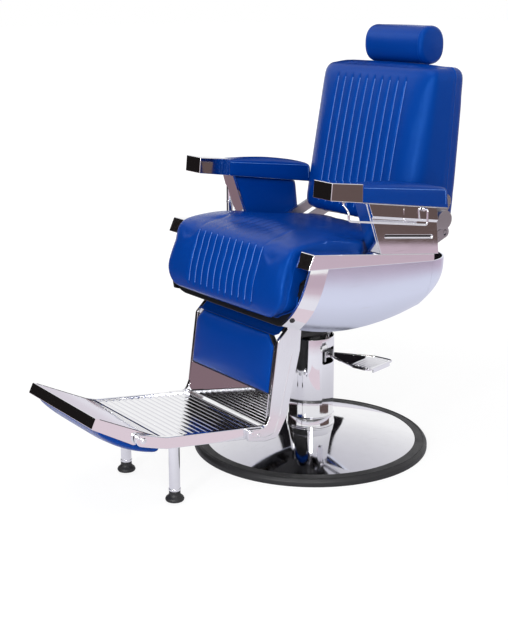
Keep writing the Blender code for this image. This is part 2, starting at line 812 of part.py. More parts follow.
def build_seat_frame(body, black, steel, wood):
    """Mount plate with its hub, welded frame, seat board, leg shaft and gas spring barrel."""
    corners = [(-PLATE_X, PLATE_FRONT), (PLATE_X, PLATE_FRONT)]
    corners += [(PLATE_X, PLATE_REAR), (-PLATE_X, PLATE_REAR)]
    plate = add("mount_plate", prism(fillet(corners, PLATE_ROUND), PLATE_LOW, PLATE_TOP, "Z"), black, body)
    bore = PISTON_R + GAP
    sunk = PLATE_LOW + PLATE_T / 2
    hub = turned([(bore, HUB_LOW), (HUB_R, HUB_LOW), (HUB_R, sunk), (bore, sunk)], 32)
    combine(plate, "UNION", hub)
    combine(plate, "DIFFERENCE", rod((0, 0, HUB_LOW - GAP), (0, 0, PLATE_LOW), bore, 32))

    low = PLATE_TOP + GAP
    box = [(-FRAME_X, low), (FRAME_X, low), (FRAME_X, FRAME_TOP), (-FRAME_X, FRAME_TOP)]
    wall = FRAME_WALL
    inside = [(-FRAME_X + wall, low + wall), (FRAME_X - wall, low + wall)]
    inside += [(FRAME_X - wall, FRAME_TOP - wall), (-FRAME_X + wall, FRAME_TOP - wall)]
    frame = add("seat_frame", prism(box, FRAME_FRONT, FRAME_REAR, "Y"), black, body)
    combine(frame, "DIFFERENCE", prism(inside, FRAME_FRONT - wall, FRAME_REAR + wall, "Y"))
    bars = []
    for y, z in ((FRONT_BAR_Y, FRONT_BAR_Z), (REAR_BAR_Y, REAR_BAR_Z)):
        reach = min(cover_inside(y + side * BAR_W / 2, z - BAR_H / 2) for _, side in SIDES)
        bars.append(block((-reach, y - BAR_W / 2, z - BAR_H / 2), (reach, y + BAR_W / 2, z + BAR_H / 2)))
    combine(frame, "UNION", *bars)

    front = trim_front(BOARD_TOP) + BOARD_SETBACK
    rear = SEAT_REAR - BOARD_INSET
    wide = SEAT_HALF - BOARD_INSET
    slim = SEAT_REAR_HALF - BOARD_INSET
    step = SEAT_STEP_Y - BOARD_INSET
    plan = [(-wide, front), (wide, front), (wide, step), (slim, step + SEAT_STEP), (slim, rear)]
    plan += [(-x, y) for x, y in reversed(plan[2:])]
    rounds = [BOARD_CORNER] * 4 + [BOARD_REAR_ROUND] * 2 + [BOARD_CORNER] * 2
    add("seat_board", prism(fillet(plan, rounds), BOARD_LOW, BOARD_TOP, "Z"), wood, body)

    reach = cover_inside(LEG_PIVOT_Y - LEG_SHAFT_R, LEG_PIVOT_Z - LEG_SHAFT_R)
    shaft = axle(-reach, reach, LEG_PIVOT_Y, LEG_PIVOT_Z, LEG_SHAFT_R)
    add("leg_pivot_shaft", shaft, steel, body)

    barrel = rod((0, SPRING_FRONT, CROSSBAR_Z), (0, SPRING_REAR, CROSSBAR_Z), SPRING_R)
    barrel = add("gas_spring_barrel", barrel, black, body)
    half = CLAMP_W / 2
    seat = low + wall + GAP
    clamp = block((-half, SPRING_REAR - CLAMP_L, seat), (half, SPRING_REAR - CLAMP_L / 4, CROSSBAR_Z))
    combine(barrel, "UNION", clamp)
    bore_end = SPRING_REAR - SPRING_R
    mouth = SPRING_FRONT - GAP
    bore = rod((0, mouth, CROSSBAR_Z), (0, bore_end, CROSSBAR_Z), SPRING_ROD_R + RUN)
    combine(barrel, "DIFFERENCE", bore)


def seat_half_width(share):
    """Half width of the seat cushion: wide ahead of the arms, round at its low front corners."""
    spot = seat_outer(share)
    t = min(1.0, max(0.0, (spot.x - SEAT_STEP_Y) / SEAT_STEP))
    ease = t * t * (3 - 2 * t)
    wide = SEAT_HALF + (SEAT_REAR_HALF - SEAT_HALF) * ease
    lowness = SEAT_ROUND - (spot.y - SEAT_HEM)
    if spot.x < SEAT_FRONT and lowness > 0:
        lowness = min(lowness, SEAT_ROUND)
        wide -= SEAT_ROUND - math.sqrt(SEAT_ROUND ** 2 - lowness ** 2)
    rearness = SEAT_ROUND - (SEAT_REAR - spot.x)
    if rearness > 0:
        rearness = min(rearness, SEAT_ROUND)
        wide -= SEAT_ROUND - math.sqrt(SEAT_ROUND ** 2 - rearness ** 2)
    return wide


def seat_outer(share):
    """Side view of the cushion's outer face, from its rear end over the top and down the front."""
    rise = (SEAT_FRONT_TOP - SEAT_REAR_TOP) / (SEAT_REAR - SEAT_FRONT)
    knots = [(SEAT_REAR, SEAT_REAR_TOP)]
    for part in (0.27, 0.55, 0.80):
        y = SEAT_REAR + (SEAT_FRONT - SEAT_REAR) * part
        knots.append((y, SEAT_REAR_TOP + rise * (SEAT_REAR - y)))
    fall = SEAT_FRONT_TOP - SEAT_NOSE_Z
    lean = SEAT_FRONT - SEAT_NOSE
    knots.append((SEAT_FRONT + 0.12 * lean, SEAT_FRONT_TOP - 0.10 * fall))
    knots.append((SEAT_FRONT - 0.50 * lean, SEAT_FRONT_TOP - 0.45 * fall))
    knots.append((SEAT_FRONT - 0.86 * lean, SEAT_FRONT_TOP - 0.80 * fall))
    knots.append((SEAT_NOSE, SEAT_NOSE_Z - 0.10 * fall))
    knots.append((SEAT_NOSE + 0.30 * lean, SEAT_HEM))
    return curve_through(knots, share)


def seat_inner(share):
    """Side view of the cushion's inner face, on the seat board and the trim board."""
    low = BOARD_TOP + SOFT_GAP
    behind = trim_front(low)
    hem = SEAT_HEM
    knots = [(SEAT_REAR, low)]
    for part in (0.27, 0.55, 0.78):
        knots.append((SEAT_REAR + (behind - SEAT_REAR) * part, low))
    knots.append((behind + SEAT_BEND, low))
    for part in (0.30, 0.60, 0.85, 1.0):
        z = low + (hem - low) * part
        knots.append((trim_front(z) - SOFT_GAP, z))
    return curve_through(knots, share)


def trim_front(z):
    """Depth of the trim board's front face, which leans like the cushion's nose."""
    lean = (SEAT_FRONT - SEAT_NOSE) / (SEAT_FRONT_TOP - SEAT_NOSE_Z)
    return SEAT_NOSE + TRIM_SETBACK + lean * (z - SEAT_HEM)


def build_seat_cushion(body, vinyl, black):
    """Channelled seat cushion with a front drop, and the black board round its lower edge."""
    def groove(x, spot):
        """Depth of the sewn channels on the front drop."""
        span = SEAT_CHANNEL_PITCH * (SEAT_CHANNELS - 1) / 2
        if abs(x) > span + SEAT_CHANNEL_PITCH / 2 or spot.x > FRAME_FRONT:
            return 0.0
        if not CHANNEL_END < spot.y < CHANNEL_TOP:
            return 0.0
        phase = (x + span) / SEAT_CHANNEL_PITCH
        return CHANNEL_DEPTH * (0.5 + 0.5 * math.cos(2 * math.pi * phase))

    reach = SEAT_CHANNEL_PITCH * SEAT_CHANNELS / 2 / SEAT_HALF
    lines = [reach * (k / SEAT_CHANNELS - 1) for k in range(2 * SEAT_CHANNELS + 1)]
    columns = [-1.0, -0.985, -0.94, -0.85, -0.74] + lines + [0.74, 0.85, 0.94, 0.985, 1.0]
    rows = [-1.0, -0.98, -0.92, -0.6, -0.2, 0.0, 0.1, 0.2, 0.3]
    rows += [0.42, 0.54, 0.66, 0.76, 0.85, 0.93, 0.98, 1.0]
    cushion = pillow(seat_inner, seat_outer, seat_half_width, columns, rows, SEAT_CROWN, PAD_POWERS, groove)
    add("seat_cushion", cushion, vinyl, body, 50.0)

    top = BOARD_LOW
    low = SEAT_HEM - TRIM_DROP
    outline = []
    for share in (0.0, 0.15, 0.3, 0.45, 0.6, 0.75, 0.87, 0.96, 1.0):
        z = top + (low - top) * share
        lack = max(0.0, TRIM_ROUND - (z - low))
        wide = TRIM_HALF - TRIM_ROUND + math.sqrt(TRIM_ROUND ** 2 - lack ** 2)
        inside = min(cover_inside(trim_front(z) + depth, max(z, COVER_LOW_FRONT)) for depth in (0.0, TRIM_T))
        outline.append((min(wide, inside - SOFT_GAP), z))
    outline += [(-x, z) for x, z in reversed(outline)]
    board = prism(outline, 0.0, TRIM_T, "Y")
    for vert in board.verts:
        vert.co.y += trim_front(vert.co.z)
    add("seat_trim", board, black, body)


def build_covers(body, aluminium, chrome):
    """Polished side covers, the rear cover between them and the seat rails on top."""
    run = COVER_SEAM - COVER_FRONT_TOP
    stations = [0.0, FLANGE_W, FLANGE_W + FLANGE_T] + [run * share for share in COVER_STATIONS] + [None]
    for name, side in SIDES:
        outer = []
        inner = []
        for part in stations:
            row = [[], []]
            for level in COVER_LEVELS:
                front = COVER_FRONT_TOP + (COVER_FRONT_LOW - COVER_FRONT_TOP) * level
                y = COVER_SEAM - GAP if part is None else front + part
                top = rail_low(y) - GAP
                z = top + (cover_low(y) - top) * level
                proud = FLANGE_T if part is not None and part <= FLANGE_W else 0.0
                x = COVER_X - cover_tuck(level)
                row[0].append((side * (x + proud), y, z))
                row[1].append((side * (x - COVER_T), y, z))
            outer.append(row[0])
            inner.append(row[1])
        add("side_cover_" + name, shell(outer, inner), aluminium, body, 40.0)

    outer = []
    inner = []
    turns = 6
    centre_x = COVER_X - COVER_R
    path = []
    for k in range(turns + 1):
        angle = math.pi / 2 * k / turns
        path.append((centre_x, math.cos(angle), math.sin(angle)))
    path += [(-x, -c, s) for x, c, s in reversed(path)]
    top = rail_low(COVER_SEAM) - GAP
    for x, c, s in path:
        row = [[], []]
        for level in COVER_LEVELS:
            radius = COVER_R - cover_tuck(level)
            y = COVER_SEAM + s * radius
            z = top + (cover_low(COVER_SEAM + s * COVER_R) - top) * level
            row[0].append((x + c * radius, y, z))
            row[1].append((x + c * (radius - COVER_T), COVER_SEAM + s * (radius - COVER_T), z))
        outer.append(row[0])
        inner.append(row[1])
    add("rear_cover", shell(outer, inner), aluminium, body, 40.0)

    profile = [(RAIL_FRONT_TOP_Y, RAIL_FRONT_TOP_Z), (RAIL_FRONT_LOW_Y, RAIL_FRONT_LOW_Z)]
    profile += [(RAIL_REAR_Y, RAIL_REAR_LOW), (RAIL_REAR_Y, RAIL_REAR_TOP)]
    for name, side in SIDES:
        rail = prism(profile, *sided(side, RAIL_INNER, RAIL_X), "X")
        soften(add("seat_rail_" + name, rail, chrome, body), RAIL_EDGE)


def arm_outline(lift):
    """Side view of the arm's upright, lifted clear of the rail."""
    low = [(y, rail_top(y) + lift) for y in (PANEL_FRONT_LOW, PANEL_REAR_LOW)]
    return low + [(y, arm_low(y) - lift) for y in (PANEL_REAR_TOP, PANEL_FRONT_TOP)]


def build_arms(body, vinyl, chrome):
    """Upholstered arms: core, chrome side panel, pad and chrome nose cap, and the towel rail."""
    inner_face = RAIL_INNER
    panel_face = RAIL_X - PANEL_T
    for name, side in SIDES:
        core = prism(arm_outline(GAP), *sided(side, inner_face, panel_face - GAP), "X")
        soften(add("arm_core_" + name, core, vinyl, body), ARM_CORE_EDGE)

        low_front, low_rear, top_rear, top_front = arm_outline(GAP)
        rows = []
        for share in (0.0, None, 1.0):
            spots = []
            for low, top in ((low_front, top_front), (low_rear, top_rear)):
                level = 1 - PANEL_CREASE / (top[1] - low[1]) if share is None else share
                spots.append((low[0] + (top[0] - low[0]) * level, low[1] + (top[1] - low[1]) * level))
            rows.append(spots)
        outer = []
        inner = []
        for spots, flare in zip(rows, (0.0, 0.0, PANEL_FLARE)):
            outer.append([(side * (RAIL_X + flare), y, z) for y, z in spots])
            inner.append([(side * panel_face, y, z) for y, z in spots])
        panel = add("arm_panel_" + name, shell(outer, inner), chrome, body)
        start = PANEL_FRONT_LOW + LOUVRE_END
        end = PANEL_REAR_TOP - LOUVRE_END
        line = [(start, rail_top(start) + LOUVRE_RISE), (end, rail_top(end) + LOUVRE_RISE)]
        depth = sided(side, RAIL_X - LOUVRE_DEPTH, RAIL_X + PANEL_T)
        louvre = prism(stadium(*line, LOUVRE_H / 2, 5), *depth, "X")
        combine(panel, "DIFFERENCE", louvre)

        def pad_inner(share):
            """Lower face of the arm pad."""
            y = ARM_CAP_END + GAP + (ARM_REAR - ARM_CAP_END - GAP) * share
            return Vector((y, arm_low(y)))

        def pad_outer(share):
            """Upper face of the arm pad."""
            y = ARM_CAP_END + GAP + (ARM_REAR - ARM_CAP_END - GAP) * share
            return Vector((y, arm_top(y)))

        pad = pillow(pad_inner, pad_outer, lambda share: ARM_W / 2, spread(5), spread(7, (0.992, 0.96)),
                     ARM_PAD_CROWN, (9.0, 16.0))
        add("arm_pad_" + name, moved(pad, side * ARM_X), vinyl, body, 50.0)

        nose = [(ARM_FRONT, arm_low(ARM_FRONT)), (ARM_CAP_END, arm_low(ARM_CAP_END))]
        nose += [(ARM_CAP_END, arm_top(ARM_CAP_END)), (ARM_FRONT + ARM_CAP_EDGE, arm_top(ARM_FRONT))]
        cap = prism(nose, *sided(side, ARM_X - ARM_W / 2, ARM_X + ARM_W / 2), "X")
        soften(add("arm_cap_" + name, cap, chrome, body), ARM_CAP_EDGE)

    bend = TOWEL_BEND
    front_top = arm_low(TOWEL_FRONT + TOWEL_R) - GAP
    front_low = front_top - TOWEL_DROP
    rear_low = arm_low(TOWEL_REAR) - TOWEL_DROP
    rear_top = arm_low(TOWEL_REAR) - 2 * TOWEL_R
    hook = RAIL_X + PANEL_FLARE + GAP
    root = ARM_X + ARM_W / 2 - ARM_CAP_EDGE - TOWEL_R
    wire = [(root, TOWEL_FRONT, front_top), (root, TOWEL_FRONT, front_top - bend)]
    wire += [(TOWEL_X, TOWEL_FRONT, front_top - TOWEL_DROP / 2), (TOWEL_X, TOWEL_FRONT, front_low + bend)]
    wire += [(TOWEL_X, TOWEL_FRONT + bend, front_low), (TOWEL_X, TOWEL_REAR - bend, rear_low)]
    wire += [(TOWEL_X, TOWEL_REAR, rear_low + bend), (TOWEL_X, TOWEL_REAR, rear_top - bend)]
    wire += [(TOWEL_X - bend / 2, TOWEL_REAR, rear_top - bend / 3), (hook, TOWEL_REAR, rear_top)]
    add("towel_rail", bent_wire(wire, TOWEL_R), chrome, body)


def build_hinges(seat, back, steel):
    """Hinge brackets with their pins on the rails, and the crank plates of the back on them."""
    for name, side in SIDES:
        foot = (BRACKET_FOOT_Y, rail_top(BRACKET_FOOT_Y) - BRACKET_SINK)
        arm = stadium(foot, (HINGE_Y, HINGE_Z), BRACKET_ARM_R)
        bracket = prism(arm, *sided(side, BRACKET_X, RAIL_INNER - SOFT_GAP), "X")
        bracket = add("hinge_bracket_" + name, bracket, steel, seat)
        outside = side * (RAIL_INNER - SOFT_GAP)
        disc = axle(outside, side * (BRACKET_X - GAP), HINGE_Y, HINGE_Z, HINGE_DISC_R, 24)
        root = side * (BRACKET_X + LINK_SIDE)
        pin = axle(root, side * HINGE_PLATE_X, HINGE_Y, HINGE_Z, HINGE_PIN_R)
        combine(bracket, "UNION", disc, pin)

        lean = math.tan(BACK_REAR_TILT)
        strap_low = (HINGE_Y, HINGE_Z)
        strap_top = (HINGE_Y + lean * (HINGE_STRAP_TOP - HINGE_Z) + HINGE_STRAP_W / 2, HINGE_STRAP_TOP)
        reach = sided(side, HINGE_PLATE_X, HINGE_PLATE_X + HINGE_PLATE_T)
        plate = prism(stadium(strap_low, strap_top, HINGE_STRAP_W / 2), *reach, "X")
        plate = add("hinge_plate_" + name, plate, steel, back)
        disc = prism(stadium((HINGE_Y, HINGE_Z), (HINGE_Y + GAP, HINGE_Z), HINGE_DISC_R, 10), *reach, "X")
        lobe = prism(stadium((HINGE_Y, HINGE_Z), LINK_REAR, CRANK_LOBE_R), *reach, "X")
        crank_start = side * (HINGE_PLATE_X + HINGE_PLATE_T / 2)
        crank_end = side * (LINK_X + LINK_T)
        crank = axle(crank_start, crank_end, *LINK_REAR, CRANK_PIN_R)
        combine(plate, "UNION", disc, lobe, crank)
        hole_start = side * (HINGE_PLATE_X - RUN)
        hole_end = side * (LINK_X + LINK_T)
        hole = axle(hole_start, hole_end, HINGE_Y, HINGE_Z, HINGE_PIN_R + GAP)
        combine(plate, "DIFFERENCE", hole)


def back_rear(z):
    """Depth of the back's rear face."""
    return BACK_REAR_LOW + math.tan(BACK_REAR_TILT) * (z - BACK_LOW)


def back_seam(z):
    """Depth of the seam between the back's cushion and its rear shell."""
    return back_rear(z) - SHELL_T


def back_height(share):
    """Height at a share of the back."""
    return BACK_LOW + (BACK_TOP - BACK_LOW) * share


def back_half_width(share):
    """Half width of the back, round at its four corners."""
    height = BACK_TOP - BACK_LOW
    lack = BACK_ROUND - min(share, 1 - share) * height
    if lack <= 0:
        return BACK_HALF
    return BACK_HALF - BACK_ROUND + math.sqrt(max(0.0, BACK_ROUND ** 2 - lack ** 2))


def post_centre(z):
    """Depth of the headrest post's middle."""
    return back_seam(z) + POST_BEHIND


def build_back(body, vinyl):
    """Channelled back cushion, and the upholstered rear shell with the headrest's socket."""
    def seam(share, offset):
        """A point of the seam plane, moved forward or back."""
        z = back_height(share)
        return Vector((back_seam(z) + offset, z))

    def front(share):
        """Front face of the back."""
        z = back_height(share)
        return Vector((BACK_FRONT_LOW + math.tan(BACK_FRONT_TILT) * (z - BACK_LOW), z))

    def rear(share):
        """Rear face of the back."""
        z = back_height(share)
        return Vector((back_rear(z), z))

    def groove(x, spot):
        """Depth of the sewn channels on the back's front."""
        span = BACK_CHANNEL_PITCH * (BACK_CHANNELS - 1) / 2
        if abs(x) > span + BACK_CHANNEL_PITCH / 2:
            return 0.0
        if not BACK_LOW + BACK_CHANNEL_INSET < spot.y < BACK_TOP - BACK_CHANNEL_INSET:
            return 0.0
        phase = (x + span) / BACK_CHANNEL_PITCH
        return CHANNEL_DEPTH * (0.5 + 0.5 * math.cos(2 * math.pi * phase))

    reach = BACK_CHANNEL_PITCH * BACK_CHANNELS / 2 / BACK_HALF
    lines = [reach * (k / BACK_CHANNELS - 1) for k in range(2 * BACK_CHANNELS + 1)]
    columns = [-1.0, -0.985, -0.94, -0.86, -0.76] + lines + [0.76, 0.86, 0.94, 0.985, 1.0]
    rows = [-1.0, -0.99, -0.96, -0.90, -0.78, -0.76, -0.4, 0.0, 0.4, 0.76, 0.78, 0.90, 0.96, 0.99, 1.0]
    cushion = pillow(lambda s: seam(s, -SOFT_GAP), front, back_half_width, columns, rows,
                     BACK_CROWN, PAD_POWERS, groove)
    add("back_cushion", cushion, vinyl, body, 50.0)

    lines = spread(9)
    rear_shell = pillow(lambda s: seam(s, 0.0), rear, back_half_width, lines, lines, PAD_CROWN, PAD_POWERS)
    rear_shell = add("back_shell", rear_shell, vinyl, body, 50.0)
    half = POST_W / 2 + RUN
    thick = POST_T / 2 + RUN
    floor = BACK_TOP - POST_DEPTH - RUN
    lid = BACK_TOP + POST_DEPTH
    pocket = [(post_centre(floor) - thick, floor), (post_centre(floor) + thick, floor)]
    pocket += [(post_centre(lid) + thick, lid), (post_centre(lid) - thick, lid)]
    combine(rear_shell, "DIFFERENCE", prism(pocket, -half, half, "X"))
    z = BACK_TOP - KNOB_DROP
    stem = rod((0, post_centre(z), z), (0, post_centre(z) + SHELL_T, z), KNOB_STEM_R + RUN, 16)
    combine(rear_shell, "DIFFERENCE", stem)


def build_headrest(body, knob_body, vinyl, steel, black):
    """Headrest roll on a flat post, and the knob that clamps the post."""
    floor = BACK_TOP - POST_DEPTH
    lid = BACK_TOP + HEAD_SEAT
    thick = POST_T / 2
    bar = [(post_centre(floor) - thick, floor), (post_centre(floor) + thick, floor)]
    top = lid + HEAD_H / 3
    bar += [(post_centre(top) + thick, top), (post_centre(top) - thick, top)]
    add("headrest_post", prism(bar, -POST_W / 2, POST_W / 2, "X"), steel, body)

    middle = Vector((0.0, post_centre(lid + HEAD_H / 2), lid + HEAD_H / 2))
    shape = bmesh.new()
    rings = []
    for u in (0.0, 0.35, 0.62, 0.80, 0.92, 0.98):
        x = HEAD_HALF * u
        full = drawn_in(u, 4.0)
        rings.append((x, full))
    stations = [(-x, full) for x, full in reversed(rings[1:])] + rings
    loops = []
    for x, full in stations:
        loop = []
        for k in range(24):
            angle = 2 * math.pi * k / 24
            c = math.cos(angle)
            s = math.sin(angle)
            depth = math.copysign(abs(c) ** 0.8, c) * HEAD_DEPTH / 2 * full
            rise = math.copysign(abs(s) ** 0.8, s) * HEAD_H / 2 * full
            loop.append(shape.verts.new((x, middle.y + depth, middle.z + rise)))
        loops.append(loop)
    bridge(shape, loops)
    pad = add("headrest_pad", shape, vinyl, body, 60.0)
    wide = POST_W / 2 + GAP
    deep = thick + GAP
    socket = [(post_centre(floor) - deep, floor), (post_centre(floor) + deep, floor)]
    socket += [(post_centre(top) + deep, top + GAP), (post_centre(top) - deep, top + GAP)]
    combine(pad, "DIFFERENCE", prism(socket, -wide, wide, "X"))

    z = BACK_TOP - KNOB_DROP
    start = post_centre(z) + thick + RUN
    seat_y = back_rear(z) + PAD_CROWN + KNOB_STAND
    end = seat_y + KNOB_L
    slim = KNOB_R - KNOB_EDGE
    profile = [(0, start), (KNOB_STEM_R, start), (KNOB_STEM_R, seat_y), (slim, seat_y)]
    profile += [(KNOB_R, seat_y + KNOB_EDGE), (KNOB_R, end - KNOB_EDGE), (slim, end), (0, end)]
    add("headrest_knob", turned(profile, 20, "Y", (0, 0, z)), black, knob_body)


def build_links(body, steel):
    """Pull links from the back's cranks to the leg rest, their cross bar and the gas spring's rod."""
    for name, side in SIDES:
        reach = sided(side, LINK_X, LINK_X + LINK_T)
        bar = prism(stadium(LINK_FRONT, LINK_REAR, LINK_END_R), *reach, "X")
        link = add("link_" + name, bar, steel, body)
        slots = []
        past = sided(side, LINK_X - LINK_T, LINK_X + 2 * LINK_T)
        for y, z in (LINK_FRONT, LINK_REAR):
            line = stadium((y, z - SLOT_PLAY), (y, z + SLOT_PLAY / 2), CRANK_PIN_R + RUN)
            slots.append(prism(line, *past, "X"))
        combine(link, "DIFFERENCE", *slots)
    end = LINK_X - GAP
    add("link_crossbar", axle(-end, end, CROSSBAR_Y, CROSSBAR_Z, CROSSBAR_R), steel, body)
    start = CROSSBAR_Y + CROSSBAR_R + GAP
    stop = SPRING_REAR - CLAMP_L - LINK_TRAVEL
    add("gas_spring_rod", rod((0, start, CROSSBAR_Z), (0, stop, CROSSBAR_Z), SPRING_ROD_R), steel, body)


def build_leg_rest(body, vinyl, chrome, aluminium, black, rubber):
    """Leg rest: cast side arms, calf panel, kick plate, ribbed platform and its two feet."""
    bend_y = calf_front(LEG_ARM_BEND) - LEG_ARM_PROUD
    toe_rise = foot_top(LEG_TOE) + LEG_ARM_PROUD
    crank_y = LINK_FRONT[0] + CRANK_LOBE_R
    for name, side in SIDES:
        heel = FOOT_REAR_Z - FOOT_RAIL_H
        outline = [(LEG_PIVOT_Y - LEG_BOSS_R, LEG_PIVOT_Z - LEG_NECK)]
        outline += [(calf_front(LEG_ARM_TOP) - LEG_ARM_PROUD, LEG_ARM_TOP), (bend_y, LEG_ARM_BEND)]
        outline += [(LEG_INSTEP, foot_top(LEG_INSTEP) + LEG_ARM_PROUD), (LEG_TOE, toe_rise)]
        outline += [(LEG_TOE, toe_rise - FOOT_RAIL_H), (LEG_INSTEP, heel)]
        outline += [(LEG_HEEL, heel + LEG_ARM_PROUD), (LEG_REAR_LOW_Y, LEG_REAR_LOW_Z)]
        outline += [(LEG_REAR_TOP_Y, LEG_REAR_TOP_Z)]
        outline += [(crank_y, LINK_FRONT[1] - CRANK_PIN_R), (crank_y, LINK_FRONT[1] + CRANK_LOBE_R)]
        outline += [(LEG_PIVOT_Y + LEG_BOSS_R, LEG_PIVOT_Z), (LEG_PIVOT_Y - LEG_BOSS_R, LEG_PIVOT_Z)]
        reach = sided(side, LEG_ARM_X, LEG_ARM_X + LEG_ARM_T)
        big = LEG_ARM_ROUND
        small = LEG_ARM_ROUND / 4
        radii = [small * 2, small * 2, small, big, small, small, big, big, big, 0, small, small, 0, 0]
        arm = add("leg_arm_" + name, prism(fillet(outline, radii, 3), *reach, "X"), aluminium, body)
        boss = stadium((LEG_PIVOT_Y, LEG_PIVOT_Z), (LEG_PIVOT_Y, LEG_PIVOT_Z + GAP), LEG_BOSS_R, 8)
        start = side * (LEG_ARM_X + LEG_ARM_T / 2)
        pin = axle(start, side * (LINK_X + LINK_T), *LINK_FRONT, CRANK_PIN_R)
        combine(arm, "UNION", prism(boss, *reach, "X"), pin)
        ends = sided(side, LEG_ARM_X - LEG_ARM_T, LEG_ARM_X + 2 * LEG_ARM_T)
        bore = axle(*ends, LEG_PIVOT_Y, LEG_PIVOT_Z, LEG_SHAFT_R + GAP)
        combine(arm, "DIFFERENCE", bore)

    wide = LEG_ARM_X - GAP
    low = CALF_LOW_Z
    cut = CALF_CHAMFER
    face = [(wide, low), (wide, CALF_TOP_Z - cut), (wide - cut, CALF_TOP_Z)]
    face += [(-x, z) for x, z in reversed(face)]
    add("calf_frame", lean_back(prism(face, 0.0, CALF_T, "Y"), 0.0), black, body)

    pad_low = KICK_TOP_Z + CALF_PAD_INSET
    pad_top = CALF_TOP_Z - CALF_PAD_INSET
    half = wide - CALF_PAD_INSET

    def calf_point(share, offset):
        """A point of the calf panel's face, moved forward by an offset."""
        z = pad_low + (pad_top - pad_low) * share
        return Vector((calf_front(z) - offset, z))

    def calf_half(share):
        """Half width of the calf pad, with its upper corners cut off."""
        z = pad_low + (pad_top - pad_low) * share
        return half - max(0.0, z - (pad_top - cut))

    rows = [-1.0, -0.97, -0.88, -0.5, 0.0, 0.4, 1 - 2 * cut / (pad_top - pad_low), 0.88, 0.97, 1.0]
    pad = pillow(lambda s: calf_point(s, SOFT_GAP), lambda s: calf_point(s, CALF_PAD_T), calf_half,
                 spread(7, (0.985, 0.94)), rows, PAD_CROWN, (6.0, 6.0))
    add("calf_pad", pad, vinyl, body, 50.0)
    plate = [(-wide, low), (wide, low), (wide, KICK_TOP_Z), (-wide, KICK_TOP_Z)]
    add("kick_plate", lean_back(prism(plate, -KICK_T, 0.0, "Y"), -GAP), chrome, body)

    ribbed = FOOT_REAR_Y - FOOT_PLAIN
    pitch = (ribbed - FOOT_FRONT_Y) / FOOT_RIBS
    deck = [(FOOT_REAR_Y, foot_top(FOOT_REAR_Y))]
    for k in range(FOOT_RIBS):
        y = ribbed - pitch * k
        crest = [(FOOT_RIB_FLANK, FOOT_RIB_H), (FOOT_RIB_SHARE, FOOT_RIB_H)]
        for back, rise in [(0.0, 0.0)] + crest + [(FOOT_RIB_SHARE + FOOT_RIB_FLANK, 0.0)]:
            deck.append((y - pitch * back, foot_top(y - pitch * back) + rise))
    deck.append((FOOT_FRONT_Y, foot_top(FOOT_FRONT_Y)))
    deck.append((FOOT_FRONT_Y, foot_top(FOOT_FRONT_Y) - FOOT_T))
    deck.append((FOOT_REAR_Y, foot_top(FOOT_REAR_Y) - FOOT_T))
    add("foot_platform", prism(deck, -FOOT_HALF, FOOT_HALF, "X"), aluminium, body, 20.0)

    for name, side in SIDES:
        rear = FOOT_REAR_Y
        front = FOOT_FRONT_Y
        ear = FLIP_EAR_R
        drop = FOOT_RAIL_PROUD - FOOT_RAIL_H
        rail = [(rear, foot_top(rear) + FOOT_RAIL_PROUD), (rear, foot_top(rear) + drop)]
        rail += [(front, foot_top(front) + drop)]
        rail += [(FLIP_PIVOT_Y + ear / 2, FLIP_PIVOT_Z - ear), (FLIP_PIVOT_Y - ear, FLIP_PIVOT_Z - ear / 2)]
        rail += [(FLIP_PIVOT_Y - ear, FLIP_PIVOT_Z + ear), (front, foot_top(front) + FOOT_RAIL_PROUD)]
        reach = sided(side, FOOT_RAIL_X, FOOT_RAIL_X + FOOT_RAIL_T)
        outline = fillet(rail, [0, FOOT_RAIL_PROUD, ear, ear / 2, ear, ear / 2, ear], 3)
        piece = add("platform_rail_" + name, prism(outline, *reach, "X"), chrome, body)
        inside = side * (FLIP_HALF - FLIP_T)
        pin = axle(side * (FOOT_RAIL_X + GAP), inside, FLIP_PIVOT_Y, FLIP_PIVOT_Z, FLIP_PIN_R)
        combine(piece, "UNION", pin)

        top = foot_top(LEG_TUBE_Y + LEG_TUBE_R) - FOOT_T - GAP
        pad_top = FLOOR_CLEAR + FOOT_PAD_H
        spot = (side * LEG_TUBE_X, LEG_TUBE_Y)
        tube = rod((*spot, pad_top + GAP), (*spot, top), LEG_TUBE_R, 20, LEG_TUBE_R - LEG_TUBE_WALL)
        add("leg_tube_" + name, tube, chrome, body)
        neck = LEG_TUBE_R
        edge = FOOT_PAD_EDGE
        foot = [(0, FLOOR_CLEAR), (FOOT_PAD_R - edge, FLOOR_CLEAR), (FOOT_PAD_R, FLOOR_CLEAR + edge)]
        foot += [(FOOT_PAD_R - edge, FLOOR_CLEAR + 3 * edge), (neck, FLOOR_CLEAR + 4 * edge)]
        foot += [(neck, pad_top), (0, pad_top)]
        add("foot_pad_" + name, turned(foot, 24, "Z", (side * LEG_TUBE_X, LEG_TUBE_Y, 0)), rubber, body)


def lean_back(shape, offset):
    """Lean an upright panel made at y = 0 to the calf panel's slope."""
    for vert in shape.verts:
        vert.co.y += calf_front(vert.co.z) + offset
    return shape


